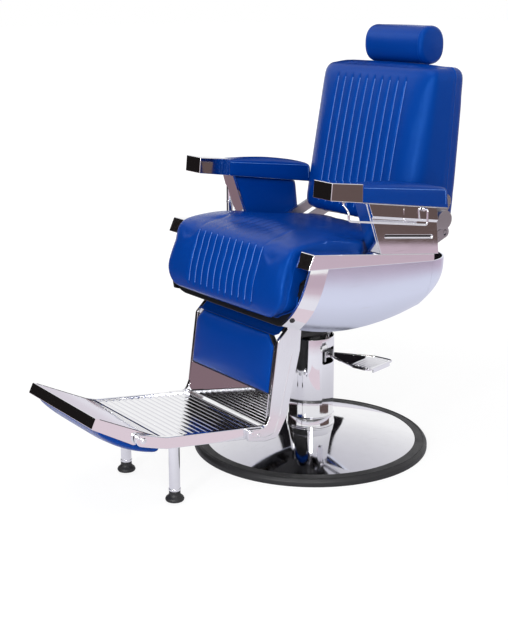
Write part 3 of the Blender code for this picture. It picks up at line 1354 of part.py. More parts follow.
def build_flip_plate(body, vinyl, chrome):
    """Flip-over foot plate: pressed tray on two pivots, with a padded underside."""
    rear_y = FOOT_FRONT_Y - FLIP_GAP
    rear_z = foot_top(FOOT_FRONT_Y)
    slope = (FLIP_FRONT_Z - rear_z) / (FLIP_FRONT_Y - rear_y)

    def deck(y):
        """Height of the tray's upper face."""
        return rear_z + slope * (y - rear_y)

    lip = (FLIP_FRONT_Y - FLIP_LIP_LEAN, FLIP_FRONT_Z - FLIP_LIP)
    side_low = deck(FLIP_PIVOT_Y) - FLIP_SIDE_H
    outline = [(rear_y, rear_z), (rear_y, rear_z - FLIP_T), (FLIP_PIVOT_Y + FLIP_EAR_R, side_low)]
    outline += [(FLIP_PIVOT_Y - FLIP_EAR_R, side_low), lip, (FLIP_FRONT_Y, FLIP_FRONT_Z)]
    tray = prism(outline, -FLIP_HALF, FLIP_HALF, "X")
    tray = add("flip_plate", tray, chrome, body)
    inside = FLIP_HALF - FLIP_T
    back = lip[0] + FLIP_T
    hollow = [(rear_y + FLIP_T, deck(rear_y + FLIP_T) - FLIP_T), (rear_y + FLIP_T, side_low - FLIP_SIDE_H)]
    hollow += [(back, side_low - FLIP_SIDE_H), (back, lip[1] + FLIP_T / 2)]
    hollow += [(FLIP_FRONT_Y + FLIP_T, deck(FLIP_FRONT_Y + FLIP_T) - FLIP_T)]
    combine(tray, "DIFFERENCE", prism(hollow, -inside, inside, "X"))
    past = 1.5 * FLIP_HALF
    hole = axle(-past, past, FLIP_PIVOT_Y, FLIP_PIVOT_Z, FLIP_PIN_R + GAP)
    combine(tray, "DIFFERENCE", hole)

    pad_front = FLIP_FRONT_Y + FLIP_T + FLIP_GAP
    pad_rear = rear_y - FLIP_GAP

    def pad_face(share, offset):
        """A point of the tray's underside, moved down by an offset."""
        y = pad_rear + (pad_front - pad_rear) * share
        return Vector((y, deck(y) - FLIP_T - offset))

    half = inside - FLIP_PIN_R
    pad = pillow(lambda s: pad_face(s, SOFT_GAP), lambda s: pad_face(s, FLIP_PAD_T), lambda s: half,
                 spread(7, (0.99, 0.96)), spread(7, (0.97, 0.88)), PAD_CROWN, (12.0, 3.5))
    add("flip_pad", pad, vinyl, body, 50.0)


def build_lever(body, chrome):
    """Recline lever on the right side cover: a round grip on a flat hub."""
    face = cover_inside(LEVER_Y, LEVER_Z + LEVER_HUB_R) + COVER_T + 2 * SOFT_GAP
    middle = face + LEVER_STAND + LEVER_R
    hub = rod((-face, LEVER_Y, LEVER_Z), (-(middle + LEVER_R), LEVER_Y, LEVER_Z), LEVER_HUB_R, 24)
    lever = add("recline_lever", hub, chrome, body)
    grip = rod((-middle, LEVER_Y, LEVER_Z), (-middle, LEVER_Y, LEVER_TOP), LEVER_R, 20)
    combine(lever, "UNION", grip)


def main():
    """Clear the scene and build the chair, body by body."""
    for item in list(bpy.data.objects):
        bpy.data.objects.remove(item)
    vinyl = finish("blue_vinyl", (0.002, 0.045, 0.36), 0.42, 0.0)
    chrome = finish("chrome", (0.80, 0.80, 0.82), 0.06, 1.0)
    aluminium = finish("polished_aluminium", (0.82, 0.82, 0.86), 0.20, 1.0)
    steel = finish("bright_steel", (0.55, 0.55, 0.57), 0.30, 1.0)
    black = finish("black_paint", (0.010, 0.010, 0.011), 0.35, 0.0)
    rubber = finish("black_rubber", (0.014, 0.014, 0.015), 0.60, 0.0)
    wood = finish("plywood", (0.55, 0.38, 0.22), 0.60, 0.0)

    post_top = BACK_TOP
    knob_z = BACK_TOP - KNOB_DROP
    turn = Matrix.Rotation(PEDAL_TURN, 3, "Z")
    base = Body("base", (0, 0, 0))
    pedal = Body("pedal", turn @ Vector((PEDAL_PIVOT, 0, PEDAL_Z)), base)
    piston = Body("piston", (0, 0, PUMP_TOP), base)
    seat = Body("seat", (0, 0, PLATE_LOW), piston)
    back = Body("back", (0, HINGE_Y, HINGE_Z), seat)
    headrest = Body("headrest", (0, post_centre(post_top), post_top), back)
    knob = Body("headrest_knob", (0, back_rear(knob_z), knob_z), back)
    link = Body("link", (0, CROSSBAR_Y, CROSSBAR_Z), seat)
    leg_rest = Body("leg_rest", (0, LEG_PIVOT_Y, LEG_PIVOT_Z), seat)
    flip = Body("flip_plate", (0, FLIP_PIVOT_Y, FLIP_PIVOT_Z), leg_rest)
    lever = Body("recline_lever", (-COVER_X, LEVER_Y, LEVER_Z), seat)

    build_base(base, steel, chrome, rubber)
    build_pedal(pedal, chrome)
    build_piston(piston, chrome)
    build_seat_frame(seat, black, steel, wood)
    build_seat_cushion(seat, vinyl, black)
    build_covers(seat, aluminium, chrome)
    build_arms(seat, vinyl, chrome)
    build_hinges(seat, back, steel)
    build_back(back, vinyl)
    build_headrest(headrest, knob, vinyl, chrome, black)
    build_links(link, steel)
    build_leg_rest(leg_rest, vinyl, chrome, aluminium, black, rubber)
    build_flip_plate(flip, vinyl, chrome)
    build_lever(lever, chrome)


if __name__ == "__main__":
    main()
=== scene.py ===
"""Looks of the barber chair: sewn vinyl pads, mirror chrome, polished covers and small fittings.

Metres, +Z up. The chair faces -Y and the sitter's left hand is at +X. Every piece rides on
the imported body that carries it, and takes the place of the solids that it names.
"""
import logging
import math
from collections.abc import Callable, Sequence
from dataclasses import dataclass, field
from enum import Enum
from functools import cache

import bmesh
import bpy
import numpy as np
from mathutils import Matrix, Vector
from mathutils.bvhtree import BVHTree


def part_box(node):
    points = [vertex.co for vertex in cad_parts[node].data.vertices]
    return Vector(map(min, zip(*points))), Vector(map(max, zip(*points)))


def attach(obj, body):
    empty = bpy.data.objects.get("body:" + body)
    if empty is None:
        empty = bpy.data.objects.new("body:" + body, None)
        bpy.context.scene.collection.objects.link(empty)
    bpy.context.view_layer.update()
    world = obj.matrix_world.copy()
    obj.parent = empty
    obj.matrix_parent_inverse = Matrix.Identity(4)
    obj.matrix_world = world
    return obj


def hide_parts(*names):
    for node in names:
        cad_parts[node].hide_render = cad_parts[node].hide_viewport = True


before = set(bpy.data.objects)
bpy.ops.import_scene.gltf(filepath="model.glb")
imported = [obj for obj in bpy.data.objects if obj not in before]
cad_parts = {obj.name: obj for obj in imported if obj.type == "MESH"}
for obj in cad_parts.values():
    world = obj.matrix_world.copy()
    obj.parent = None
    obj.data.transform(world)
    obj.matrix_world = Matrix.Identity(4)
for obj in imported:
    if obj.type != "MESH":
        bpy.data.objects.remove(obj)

LOG = logging.getLogger("barber_chair")

Pair = tuple[float, float]
Spot = tuple[float, float, float]
Colour = tuple[float, float, float]
Outline = list[Pair]
Curve = Callable[[float], Vector]
Ring = list[bmesh.types.BMVert]
Grid = list[Ring]

# Gap between pieces that would touch
HAIR = 0.0003
# Gap behind a soft pad
SOFT_CLEAR = 0.0005
# Y ahead of the cushions, where a needle starts
AHEAD = -0.45


class Axis(Enum):
    """The way that an outline is drawn out or a profile is turned."""

    X = 0
    Y = 1
    Z = 2


class Side(Enum):
    """The sitter's left or right, as the sign of X."""

    LEFT = 1.0
    RIGHT = -1.0

    @property
    def tag(self) -> str:
        """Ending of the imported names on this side."""
        return self.name.lower()

    def span(self, start: float, end: float) -> Pair:
        """An X range given for the left, put on this side."""
        low, high = sorted((self.value * start, self.value * end))
        return low, high


class Edge(Enum):
    """How a cut edge of a metal piece is broken, as the width of its round."""

    CRISP = 0.0008
    EASED = 0.0018
    SOFT = 0.0035


# Shapes


def prism(outline: Sequence[Pair], start: float, end: float, axis: Axis = Axis.X) -> bmesh.types.BMesh:
    """Draw out a closed outline along an axis.

    Args:
        outline: (y, z) points for X, (x, z) for Y and (x, y) for Z.
        start: Where the shape starts on the axis.
        end: Where it ends.
        axis: The axis.

    Returns:
        The closed shape.
    """
    shape = bmesh.new()
    rings = []
    for place in (start, end):
        spots = {
            Axis.X: [(place, a, b) for a, b in outline],
            Axis.Y: [(a, place, b) for a, b in outline],
            Axis.Z: [(a, b, place) for a, b in outline],
        }[axis]
        rings.append([shape.verts.new(spot) for spot in spots])
    low, high = rings
    shape.faces.new(low)
    shape.faces.new(high)
    for i in range(len(low)):
        shape.faces.new((low[i - 1], low[i], high[i], high[i - 1]))
    return shape


def block(low: Spot, high: Spot) -> bmesh.types.BMesh:
    """Make a box between two corners."""
    outline = [(low[0], low[1]), (high[0], low[1]), (high[0], high[1]), (low[0], high[1])]
    return prism(outline, low[2], high[2], Axis.Z)


def turned(profile: Sequence[Pair], segments: int = 96, axis: Axis = Axis.Z,
           centre: Spot = (0.0, 0.0, 0.0)) -> bmesh.types.BMesh:
    """Turn a closed profile round an axis.

    Args:
        profile: (radius, height) points.
        segments: Steps of a full turn.
        axis: The axis that it is turned round.
        centre: A point on that axis, from which heights count.

    Returns:
        The closed shape.
    """
    shape = bmesh.new()
    middle = Vector(centre)
    rings = []
    for radius, height in profile:
        ring = []
        for k in range(1 if radius < 1e-9 else segments):
            angle = 2 * math.pi * k / segments
            a, b = radius * math.cos(angle), radius * math.sin(angle)
            spot = {Axis.Z: (a, b, height), Axis.X: (height, a, b), Axis.Y: (b, height, a)}[axis]
            ring.append(shape.verts.new(middle + Vector(spot)))
        rings.append(ring)
    for first, second in zip(rings, rings[1:] + rings[:1]):
        for k in range(segments):
            after = (k + 1) % segments
            corners = [first[k % len(first)], first[after % len(first)]]
            corners += [second[after % len(second)], second[k % len(second)]]
            face = list(dict.fromkeys(corners))
            if len(face) > 2:
                shape.faces.new(face)
    return shape


def bar(start: Spot, end: Spot, radius: float, sides: int = 32, dome: float = 0.0) -> bmesh.types.BMesh:
    """Make a round bar between two points.

    Args:
        start: Middle of the first end.
        end: Middle of the far end.
        radius: Radius of the bar.
        sides: Facets round it.
        dome: Radius of the round at both rims.

    Returns:
        The closed shape.
    """
    first = Vector(start)
    along = Vector(end) - first
    outline = [(0.0, 0.0), (radius, 0.0), (radius, along.length), (0.0, along.length)]
    if dome:
        outline = fillet(outline, [0.0, dome, dome, 0.0], 5)
    shape = turned(outline, sides)
    turn = Vector((0, 0, 1)).rotation_difference(along.normalized())
    bmesh.ops.rotate(shape, matrix=turn.to_matrix(), verts=shape.verts)
    bmesh.ops.translate(shape, vec=first, verts=shape.verts)
    return shape


def wire(points: Sequence[Spot | Vector], radius: float, sides: int = 12,
         closed: bool = False) -> bmesh.types.BMesh:
    """Sweep a round wire along points.

    Args:
        points: The middle line.
        radius: Radius of the wire.
        sides: Facets round it.
        closed: Whether the last point joins the first.

    Returns:
        The swept shape, with closed ends.
    """
    shape = bmesh.new()
    spots = [Vector(p) for p in points]
    count = len(spots)
    runs = []
    for i in range(count):
        before = spots[i - 1] if closed or i else spots[0]
        after = spots[(i + 1) % count] if closed or i < count - 1 else spots[-1]
        runs.append((after - before).normalized())
    across = runs[0].orthogonal().normalized()
    rings = []
    for spot, run in zip(spots, runs):
        across = (across - run * across.dot(run)).normalized()
        other = run.cross(across)
        ring = []
        for k in range(sides):
            angle = 2 * math.pi * k / sides
            out = math.cos(angle) * across + math.sin(angle) * other
            ring.append(shape.verts.new(spot + radius * out))
        rings.append(ring)
    pairs = list(zip(rings, rings[1:]))
    if closed:
        pairs.append((rings[-1], rings[0]))
    for first, second in pairs:
        hoop(shape, first, second)
    if not closed:
        shape.faces.new(rings[0])
        shape.faces.new(rings[-1])
    return shape


def patch(shape: bmesh.types.BMesh, grid: Grid) -> None:
    """Close a grid of points with faces.

    Args:
        shape: The shape that holds the points.
        grid: Rows of points.
    """
    for first, second in zip(grid, grid[1:]):
        for j in range(len(first) - 1):
            shape.faces.new((first[j], first[j + 1], second[j + 1], second[j]))


def hoop(shape: bmesh.types.BMesh, first: Ring, second: Ring) -> None:
    """Close the strip between two rings of points.

    Args:
        shape: The shape that holds the points.
        first: One ring.
        second: The next ring, of the same count.
    """
    for k in range(len(first)):
        after = (k + 1) % len(first)
        shape.faces.new((first[k], first[after], second[after], second[k]))


def two_skins(flat: list[list[Spot]], full: list[list[Spot]]) -> tuple[bmesh.types.BMesh, list[Grid]]:
    """Close a flat skin and a full one that share their rim.

    Args:
        flat: Rows of points of the flat skin.
        full: The same for the full skin.

    Returns:
        The closed shape, and the points of the flat and the full skin.
    """
    shape = bmesh.new()
    skins: list[Grid] = [[], []]
    rows, columns = len(flat) - 1, len(flat[0]) - 1
    for i in range(rows + 1):
        lines: Grid = [[], []]
        for j in range(columns + 1):
            back = shape.verts.new(flat[i][j])
            rim = i in (0, rows) or j in (0, columns)
            lines[0].append(back)
            lines[1].append(back if rim else shape.verts.new(full[i][j]))
        skins[0].append(lines[0])
        skins[1].append(lines[1])
    for skin in skins:
        patch(shape, skin)
    shape.verts.index_update()
    return shape, skins


def shell(outer: list[list[Spot]], inner: list[list[Spot]]) -> bmesh.types.BMesh:
    """Close the space between two grids of points of the same size.

    Args:
        outer: Rows of points of the outer face.
        inner: Rows of points of the inner face.

    Returns:
        The closed shape.
    """
    shape = bmesh.new()
    rows, columns = len(outer), len(outer[0])
    skins = [[[shape.verts.new(spot) for spot in row] for row in grid] for grid in (outer, inner)]
    for skin in skins:
        patch(shape, skin)
    edge = [(0, j) for j in range(columns)] + [(i, columns - 1) for i in range(1, rows)]
    edge += [(rows - 1, j) for j in range(columns - 2, -1, -1)] + [(i, 0) for i in range(rows - 2, 0, -1)]
    for (i, j), (m, n) in zip(edge, edge[1:] + edge[:1]):
        shape.faces.new((skins[0][i][j], skins[0][m][n], skins[1][m][n], skins[1][i][j]))
    return shape


def merge(*shapes: bmesh.types.BMesh) -> bmesh.types.BMesh:
    """Put several shapes into one.

    Args:
        *shapes: The shapes, which are used up.

    Returns:
        The joined shape.
    """
    whole = bmesh.new()
    for shape in shapes:
        bmesh.ops.recalc_face_normals(shape, faces=shape.faces)
        carrier = bpy.data.meshes.new("carrier")
        shape.to_mesh(carrier)
        shape.free()
        whole.from_mesh(carrier)
        bpy.data.meshes.remove(carrier)
    return whole


def spun(shape: bmesh.types.BMesh, angle: float) -> bmesh.types.BMesh:
    """Turn a shape round the column's axis."""
    bmesh.ops.rotate(shape, verts=shape.verts, matrix=Matrix.Rotation(angle, 3, "Z"))
    return shape


def fillet(corners: Sequence[Pair], radii: float | Sequence[float], steps: int = 6) -> Outline:
    """Round the corners of a closed outline.

    Args:
        corners: The sharp corners.
        radii: One radius, or one for each corner.
        steps: Steps of each round.

    Returns:
        The rounded outline.
    """
    sizes = list(radii) if isinstance(radii, Sequence) else [radii] * len(corners)
    outline: Outline = []
    for i, corner in enumerate(corners):
        here = Vector(corner)
        before = Vector(corners[i - 1]) - here
        after = Vector(corners[(i + 1) % len(corners)]) - here
        if sizes[i] <= 0:
            outline.append((here.x, here.y))
            continue
        half = before.angle(after) / 2
        run = min(sizes[i] / math.tan(half), before.length / 2, after.length / 2)
        radius = run * math.tan(half)
        centre = here + (before.normalized() + after.normalized()).normalized() * (radius / math.sin(half))
        start = here + before.normalized() * run - centre
        sweep = start.angle_signed(here + after.normalized() * run - centre)
        for k in range(steps + 1):
            spot = centre + Matrix.Rotation(-sweep * k / steps, 2) @ start
            outline.append((spot.x, spot.y))
    return outline


def stadium(start: Pair, end: Pair, radius: float, steps: int = 10) -> Outline:
    """Outline of a bar with round ends.

    Args:
        start: Centre of the first end.
        end: Centre of the far end.
        radius: Half the bar's width.
        steps: Steps of each round end.

    Returns:
        The closed outline.
    """
    heading = math.atan2(end[1] - start[1], end[0] - start[0])
    outline: Outline = []
    for centre, turn in ((end, -math.pi / 2), (start, math.pi / 2)):
        for k in range(steps + 1):
            angle = heading + turn + math.pi * k / steps
            outline.append((centre[0] + radius * math.cos(angle), centre[1] + radius * math.sin(angle)))
    return outline


def curve_through(knots: Sequence[Pair], share: float) -> Vector:
    """Point at a share 0 to 1 along a smooth curve through evenly counted knots.

    Args:
        knots: Points that the curve passes.
        share: Place along it.

    Returns:
        The point.
    """
    place = share * (len(knots) - 1)
    i = min(int(place), len(knots) - 2)
    t = place - i
    p1, p2 = Vector(knots[i]), Vector(knots[i + 1])
    p0 = Vector(knots[i - 1]) if i else 2 * p1 - p2
    p3 = Vector(knots[i + 2]) if i + 2 < len(knots) else 2 * p2 - p1
    return 0.5 * (2 * p1 + (p2 - p0) * t + (2 * p0 - 5 * p1 + 4 * p2 - p3) * t * t
                  + (3 * p1 - p0 - 3 * p2 + p3) * t ** 3)


def drawn_in(value: float, power: float) -> float:
    """Fullness of a pad, 1 in the middle and 0 at its sewn edge."""
    return max(0.0, 1.0 - abs(value) ** power) ** (1.0 / power)


def ramp(value: float, start: float, end: float) -> float:
    """Rise smoothly from 0 at start to 1 at end."""
    t = min(1.0, max(0.0, (value - start) / (end - start)))
    return t * t * (3 - 2 * t)


def round_off(distance: float, radius: float) -> float:
    """How much narrower a round corner makes a shape, at a distance from its end."""
    lack = min(max(radius - distance, 0.0), radius)
    return radius - math.sqrt(radius ** 2 - lack ** 2)


def bolt(centre: Spot, axis: Vector, radius: float, height: float, sides: int = 6) -> bmesh.types.BMesh:
    """A screw head on its washer.

    Args:
        centre: Middle of the washer's seat.
        axis: The way that the head points.
        radius: Radius of the head.
        height: Height of the head.
        sides: 6 for a hex head, more for a round one.

    Returns:
        The washer and the head.
    """
    wide = 1.35 * radius
    washer = [(0.0, -height), (wide, -height), (wide, 0.22 * height), (1.2 * radius, 0.32 * height)]
    head = [(0.0, 0.0), (radius, 0.2 * height), (radius, 0.75 * height), (0.8 * radius, height)]
    if sides > 6:
        head = [(0.0, 0.0)] + [(radius * math.cos(a), height * math.sin(a)) for a in np.linspace(0, 1.35, 7)]
    shape = merge(turned(washer + [(0.0, 0.32 * height)], 24), turned(head + [(0.0, head[-1][1])], sides))
    turn = Vector((0, 0, 1)).rotation_difference(axis.normalized())
    bmesh.ops.rotate(shape, matrix=turn.to_matrix(), verts=shape.verts)
    bmesh.ops.translate(shape, vec=centre, verts=shape.verts)
    return shape


# Shared surface effects


class Wiring:
    """Adds and joins nodes in one node tree."""

    def __init__(self, tree: bpy.types.NodeTree) -> None:
        """Start on a tree."""
        self.tree = tree

    def add(self, kind: str, values: dict | None = None, **settings: object) -> bpy.types.Node:
        """Add a node.

        Args:
            kind: Blender's name for the node type.
            values: A value, or a socket to link from, for each named input.
            **settings: Attributes of the node.

        Returns:
            The node.
        """
        node = self.tree.nodes.new(kind)
        for key, value in settings.items():
            setattr(node, key, value)
        for key, value in (values or {}).items():
            self.feed(value, node.inputs[key])
        return node

    def feed(self, value: object, socket: bpy.types.NodeSocket) -> None:
        """Link a socket, or set its value.

        Args:
            value: A socket or a plain value.
            socket: The socket that takes it.
        """
        if isinstance(value, bpy.types.NodeSocket):
            self.tree.links.new(value, socket)
        else:
            socket.default_value = value

    def sum_of(self, operation: str, first: object, second: object) -> bpy.types.NodeSocket:
        """Work on two values with a Math node."""
        return self.add("ShaderNodeMath", {0: first, 1: second}, operation=operation).outputs[0]

    def spread(self, value: object, low: float, high: float, start: object,
               end: object) -> bpy.types.NodeSocket:
        """Map a value from one range onto another, held at its ends."""
        values = {"Value": value, "From Min": low, "From Max": high, "To Min": start, "To Max": end}
        return self.add("ShaderNodeMapRange", values).outputs["Result"]

    def blend(self, share: object, first: object, second: object) -> bpy.types.NodeSocket:
        """Mix two colours.

        Args:
            share: Share of the second colour.
            first: The first colour.
            second: The second colour.

        Returns:
            The mixed colour.
        """
        # The colour sockets of a mix node carry the same names as its plain ones
        values = {"Factor": share, 6: first, 7: second}
        return self.add("ShaderNodeMix", values, data_type="RGBA").outputs[2]

    def place(self) -> bpy.types.NodeSocket:
        """Position on the piece."""
        return self.add("ShaderNodeTexCoord").outputs["Object"]

    def noise(self, place: object, scale: object, detail: float, rough: float = 0.5) -> bpy.types.NodeSocket:
        """Smooth noise from 0 to 1."""
        values = {"Vector": place, "Scale": scale, "Detail": detail, "Roughness": rough}
        return self.add("ShaderNodeTexNoise", values).outputs["Fac"]

    def group(self, tree: bpy.types.NodeTree, **values: float) -> bpy.types.NodeOutputs:
        """Put a shared group in with its own values, and give its outputs."""
        return self.add("ShaderNodeGroup", values, node_tree=tree).outputs


class Effects:
    """Node groups that the finishes share, each built once."""

    def begin(self, name: str, inputs: dict[str, float],
              outputs: Sequence[str]) -> tuple[Wiring, dict, dict]:
        """Start a group.

        Args:
            name: Name of the group.
            inputs: Named inputs with their first values.
            outputs: Named outputs.

        Returns:
            The group's wiring, its given sockets and the sockets to feed.
        """
        tree = bpy.data.node_groups.new(name, "ShaderNodeTree")
        for key, value in inputs.items():
            socket = tree.interface.new_socket(key, in_out="INPUT", socket_type="NodeSocketFloat")
            socket.default_value = value
        for key in outputs:
            tree.interface.new_socket(key, in_out="OUTPUT", socket_type="NodeSocketFloat")
        w = Wiring(tree)
        return w, w.add("NodeGroupInput").outputs, w.add("NodeGroupOutput").inputs

    @cache
    def leather(self) -> bpy.types.NodeTree:
        """Pebbled vinyl grain: raised cells between fine creases, and a mask of the creases for painted
        shade.

        Returns:
            The group.
        """
        w, given, put = self.begin("vinyl_grain", {"Scale": 420.0}, ("Height", "Crease"))
        place = w.place()
        cells = w.add("ShaderNodeTexVoronoi", {"Vector": place, "Scale": given["Scale"]},
                      feature="DISTANCE_TO_EDGE").outputs["Distance"]
        pebble = w.sum_of("MULTIPLY", w.spread(cells, 0.0, 0.22, 0.0, 1.0), 0.7)
        fine = w.sum_of("MULTIPLY", w.noise(place, w.sum_of("MULTIPLY", given["Scale"], 1.7), 3.0), 0.3)
        w.feed(w.sum_of("ADD", pebble, fine), put["Height"])
        # Crease mask: where the vinyl's colour is darkened as painted shade
        w.feed(w.spread(cells, 0.0, 0.10, 1.0, 0.0), put["Crease"])
        return w.tree

    @cache
    def patches(self) -> bpy.types.NodeTree:
        """Slow unevenness from handling and wiping, between two values.

        Returns:
            The group.
        """
        w, given, put = self.begin("handled_patches", {"Scale": 9.0, "Low": 0.0, "High": 1.0}, ("Value",))
        noise = w.noise(w.place(), given["Scale"], 4.0, 0.6)
        w.feed(w.spread(noise, 0.3, 0.7, given["Low"], given["High"]), put["Value"])
        return w.tree

    @cache
    def wear(self) -> bpy.types.NodeTree:
        """Rubbed edges, broken up by noise.

        Returns:
            The group.
        """
        w, given, put = self.begin("rubbed_edges", {"Amount": 0.5}, ("Mask",))
        bend = w.add("ShaderNodeNewGeometry").outputs["Pointiness"]
        edge = w.spread(bend, 0.53, 0.62, 0.0, 1.0)
        broken = w.sum_of("MULTIPLY", edge, w.spread(w.noise(w.place(), 60.0, 5.0), 0.35, 0.65, 0.0, 1.0))
        w.feed(w.sum_of("MULTIPLY", broken, given["Amount"]), put["Mask"])
        return w.tree

    @cache
    def hairlines(self) -> bpy.types.NodeTree:
        """Fine polishing lines and stray scratches along one way of the piece.

        Returns:
            The group.
        """
        w, given, put = self.begin("polish_hairlines", {"Scale": 900.0}, ("Height", "Scratch"))
        place = w.place()
        drawn = w.add("ShaderNodeMapping", {"Vector": place, "Scale": (1.0, 0.035, 1.0)}).outputs["Vector"]
        crossed = w.add("ShaderNodeMapping", {"Vector": place, "Rotation": (0.5, 0.3, 0.9),
                                              "Scale": (1.0, 0.03, 0.6)}).outputs["Vector"]
        w.feed(w.noise(drawn, given["Scale"], 3.0), put["Height"])
        w.feed(w.spread(w.noise(crossed, 260.0, 1.0), 0.70, 0.76, 0.0, 1.0), put["Scratch"])
        return w.tree

    @cache
    def dust(self) -> bpy.types.NodeTree:
        """A thin film on faces that look up.

        Returns:
            The group.
        """
        w, given, put = self.begin("settled_dust", {"Amount": 0.2}, ("Mask",))
        normal = w.add("ShaderNodeNewGeometry").outputs["Normal"]
        up = w.spread(w.add("ShaderNodeSeparateXYZ", {"Vector": normal}).outputs["Z"], 0.3, 1.0, 0.0, 1.0)
        film = w.sum_of("MULTIPLY", up, w.spread(w.noise(w.place(), 35.0, 6.0), 0.35, 0.75, 0.0, 1.0))
        w.feed(w.sum_of("MULTIPLY", film, given["Amount"]), put["Mask"])
        return w.tree


EFFECTS = Effects()


@dataclass(frozen=True)
class Finish:
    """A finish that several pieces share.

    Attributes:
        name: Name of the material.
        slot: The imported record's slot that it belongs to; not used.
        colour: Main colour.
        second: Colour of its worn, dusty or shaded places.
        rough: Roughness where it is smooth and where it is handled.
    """

    name: str
    slot: str
    colour: Colour
    second: Colour
    rough: Pair

    def material(self) -> bpy.types.Material:
        """Fetch the material, or build it.

        Returns:
            The material.
        """
        if self.name in bpy.data.materials:
            return bpy.data.materials[self.name]
        made = bpy.data.materials.new(self.name)
        made.use_nodes = True
        made.diffuse_color = (*self.colour, 1.0)
        wiring = Wiring(made.node_tree)
        shader = made.node_tree.nodes["Principled BSDF"]
        for key, value in self.sockets(wiring).items():
            wiring.feed(value, shader.inputs[key])
        return made

    def sockets(self, w: Wiring) -> dict[str, object]:
        """What the finish feeds to its shader's sockets."""
        raise NotImplementedError

    def toned(self, w: Wiring, share: object) -> bpy.types.NodeSocket:
        """Blend the main colour into the second one."""
        return w.blend(share, self.rgba(self.colour), self.rgba(self.second))

    def handled(self, w: Wiring, scale: float) -> bpy.types.NodeSocket:
        """Roughness that wanders between the finish's two values."""
        return w.group(EFFECTS.patches(), Scale=scale, Low=self.rough[0], High=self.rough[1])["Value"]

    def bumped(self, w: Wiring, height: object, strength: float, depth: float) -> bpy.types.NodeSocket:
        """Normal of a surface with a height, whose depth is in metres."""
        values = {"Height": height, "Strength": strength, "Distance": depth}
        return w.add("ShaderNodeBump", values).outputs["Normal"]

    def rgba(self, colour: Colour) -> tuple[float, float, float, float]:
        """A colour with full cover."""
        return (*colour, 1.0)


@dataclass(frozen=True)
class Vinyl(Finish):
    """Grained upholstery vinyl with a soft gloss."""

    grain: float = 420.0

    def sockets(self, w: Wiring) -> dict[str, object]:
        """Pebbled grain, painted shade in its creases, rubbed edges and handled patches.

        Args:
            w: The material's wiring.

        Returns:
            A value or a socket for each named input.
        """
        grain = w.group(EFFECTS.leather(), Scale=self.grain)
        tone = w.group(EFFECTS.patches(), Scale=6.0, Low=0.0, High=0.35)["Value"]
        rubbed = w.group(EFFECTS.wear(), Amount=0.25)["Mask"]
        body = self.toned(w, w.sum_of("MAXIMUM", tone, rubbed))
        # Painted shade: the grain's creases are darkened to 72 % of the colour
        dark = tuple(0.72 * c for c in self.colour)
        crease = w.sum_of("MULTIPLY", grain["Crease"], 0.5)
        return {
            "Base Color": w.blend(crease, body, self.rgba(dark)),
            "Roughness": self.handled(w, 14.0),
            "Normal": self.bumped(w, grain["Height"], 0.35, 0.0005),
            "Specular IOR Level": 0.42,
            "Specular Tint": (0.10, 0.34, 1.0, 1.0),
        }


@dataclass(frozen=True)
class Metal(Finish):
    """Plated or polished metal.

    Attributes:
        lines: Strength of its polishing lines.
        line_scale: How fine they are.
        wave: Depth of the slow waviness of the sheet, in metres.
        depth: Depth of its lines, in metres.
    """

    lines: float = 0.02
    line_scale: float = 900.0
    wave: float = 0.0
    depth: float = 0.0004

    def sockets(self, w: Wiring) -> dict[str, object]:
        """Hairlines, stray scratches, handled patches and a thin film of dust.

        Args:
            w: The material's wiring.

        Returns:
            A value or a socket for each named input.
        """
        hair = w.group(EFFECTS.hairlines(), Scale=self.line_scale)
        film = w.group(EFFECTS.dust(), Amount=0.10)["Mask"]
        share = w.sum_of("MAXIMUM", w.sum_of("MULTIPLY", hair["Scratch"], 0.25), film)
        height = hair["Height"]
        if self.wave:
            slow = w.group(EFFECTS.patches(), Scale=5.0, Low=0.0, High=self.wave / self.depth)["Value"]
            height = w.sum_of("ADD", height, slow)
        return {
            "Base Color": self.toned(w, share),
            "Roughness": w.sum_of("ADD", self.handled(w, 11.0), w.sum_of("MULTIPLY", share, 0.15)),
            "Metallic": 1.0,
            "Normal": self.bumped(w, height, self.lines, self.depth),
        }


@dataclass(frozen=True)
class Coating(Finish):
    """Paint, rubber or moulded plastic with a fine texture."""

    grain: float = 700.0
    depth: float = 0.0003

    def sockets(self, w: Wiring) -> dict[str, object]:
        """Fine texture, dust on top and rubbed edges.

        Args:
            w: The material's wiring.

        Returns:
            A value or a socket for each named input.
        """
        grain = w.group(EFFECTS.leather(), Scale=self.grain)["Height"]
        film = w.group(EFFECTS.dust(), Amount=0.22)["Mask"]
        rubbed = w.group(EFFECTS.wear(), Amount=0.5)["Mask"]
        return {
            "Base Color": self.toned(w, w.sum_of("MAXIMUM", film, rubbed)),
            "Roughness": self.handled(w, 16.0),
            "Normal": self.bumped(w, grain, 0.2, self.depth),
        }


@dataclass(frozen=True)
class Plywood(Finish):
    """Veneered board."""

    def sockets(self, w: Wiring) -> dict[str, object]:
        """Long grain lines between two browns.

        Args:
            w: The material's wiring.

        Returns:
            A value or a socket for each named input.
        """
        grain = w.group(EFFECTS.hairlines(), Scale=160.0)["Height"]
        return {
            "Base Color": self.toned(w, w.spread(grain, 0.35, 0.65, 0.0, 1.0)),
            "Roughness": self.handled(w, 20.0),
            "Normal": self.bumped(w, grain, 0.2, 0.0004),
        }


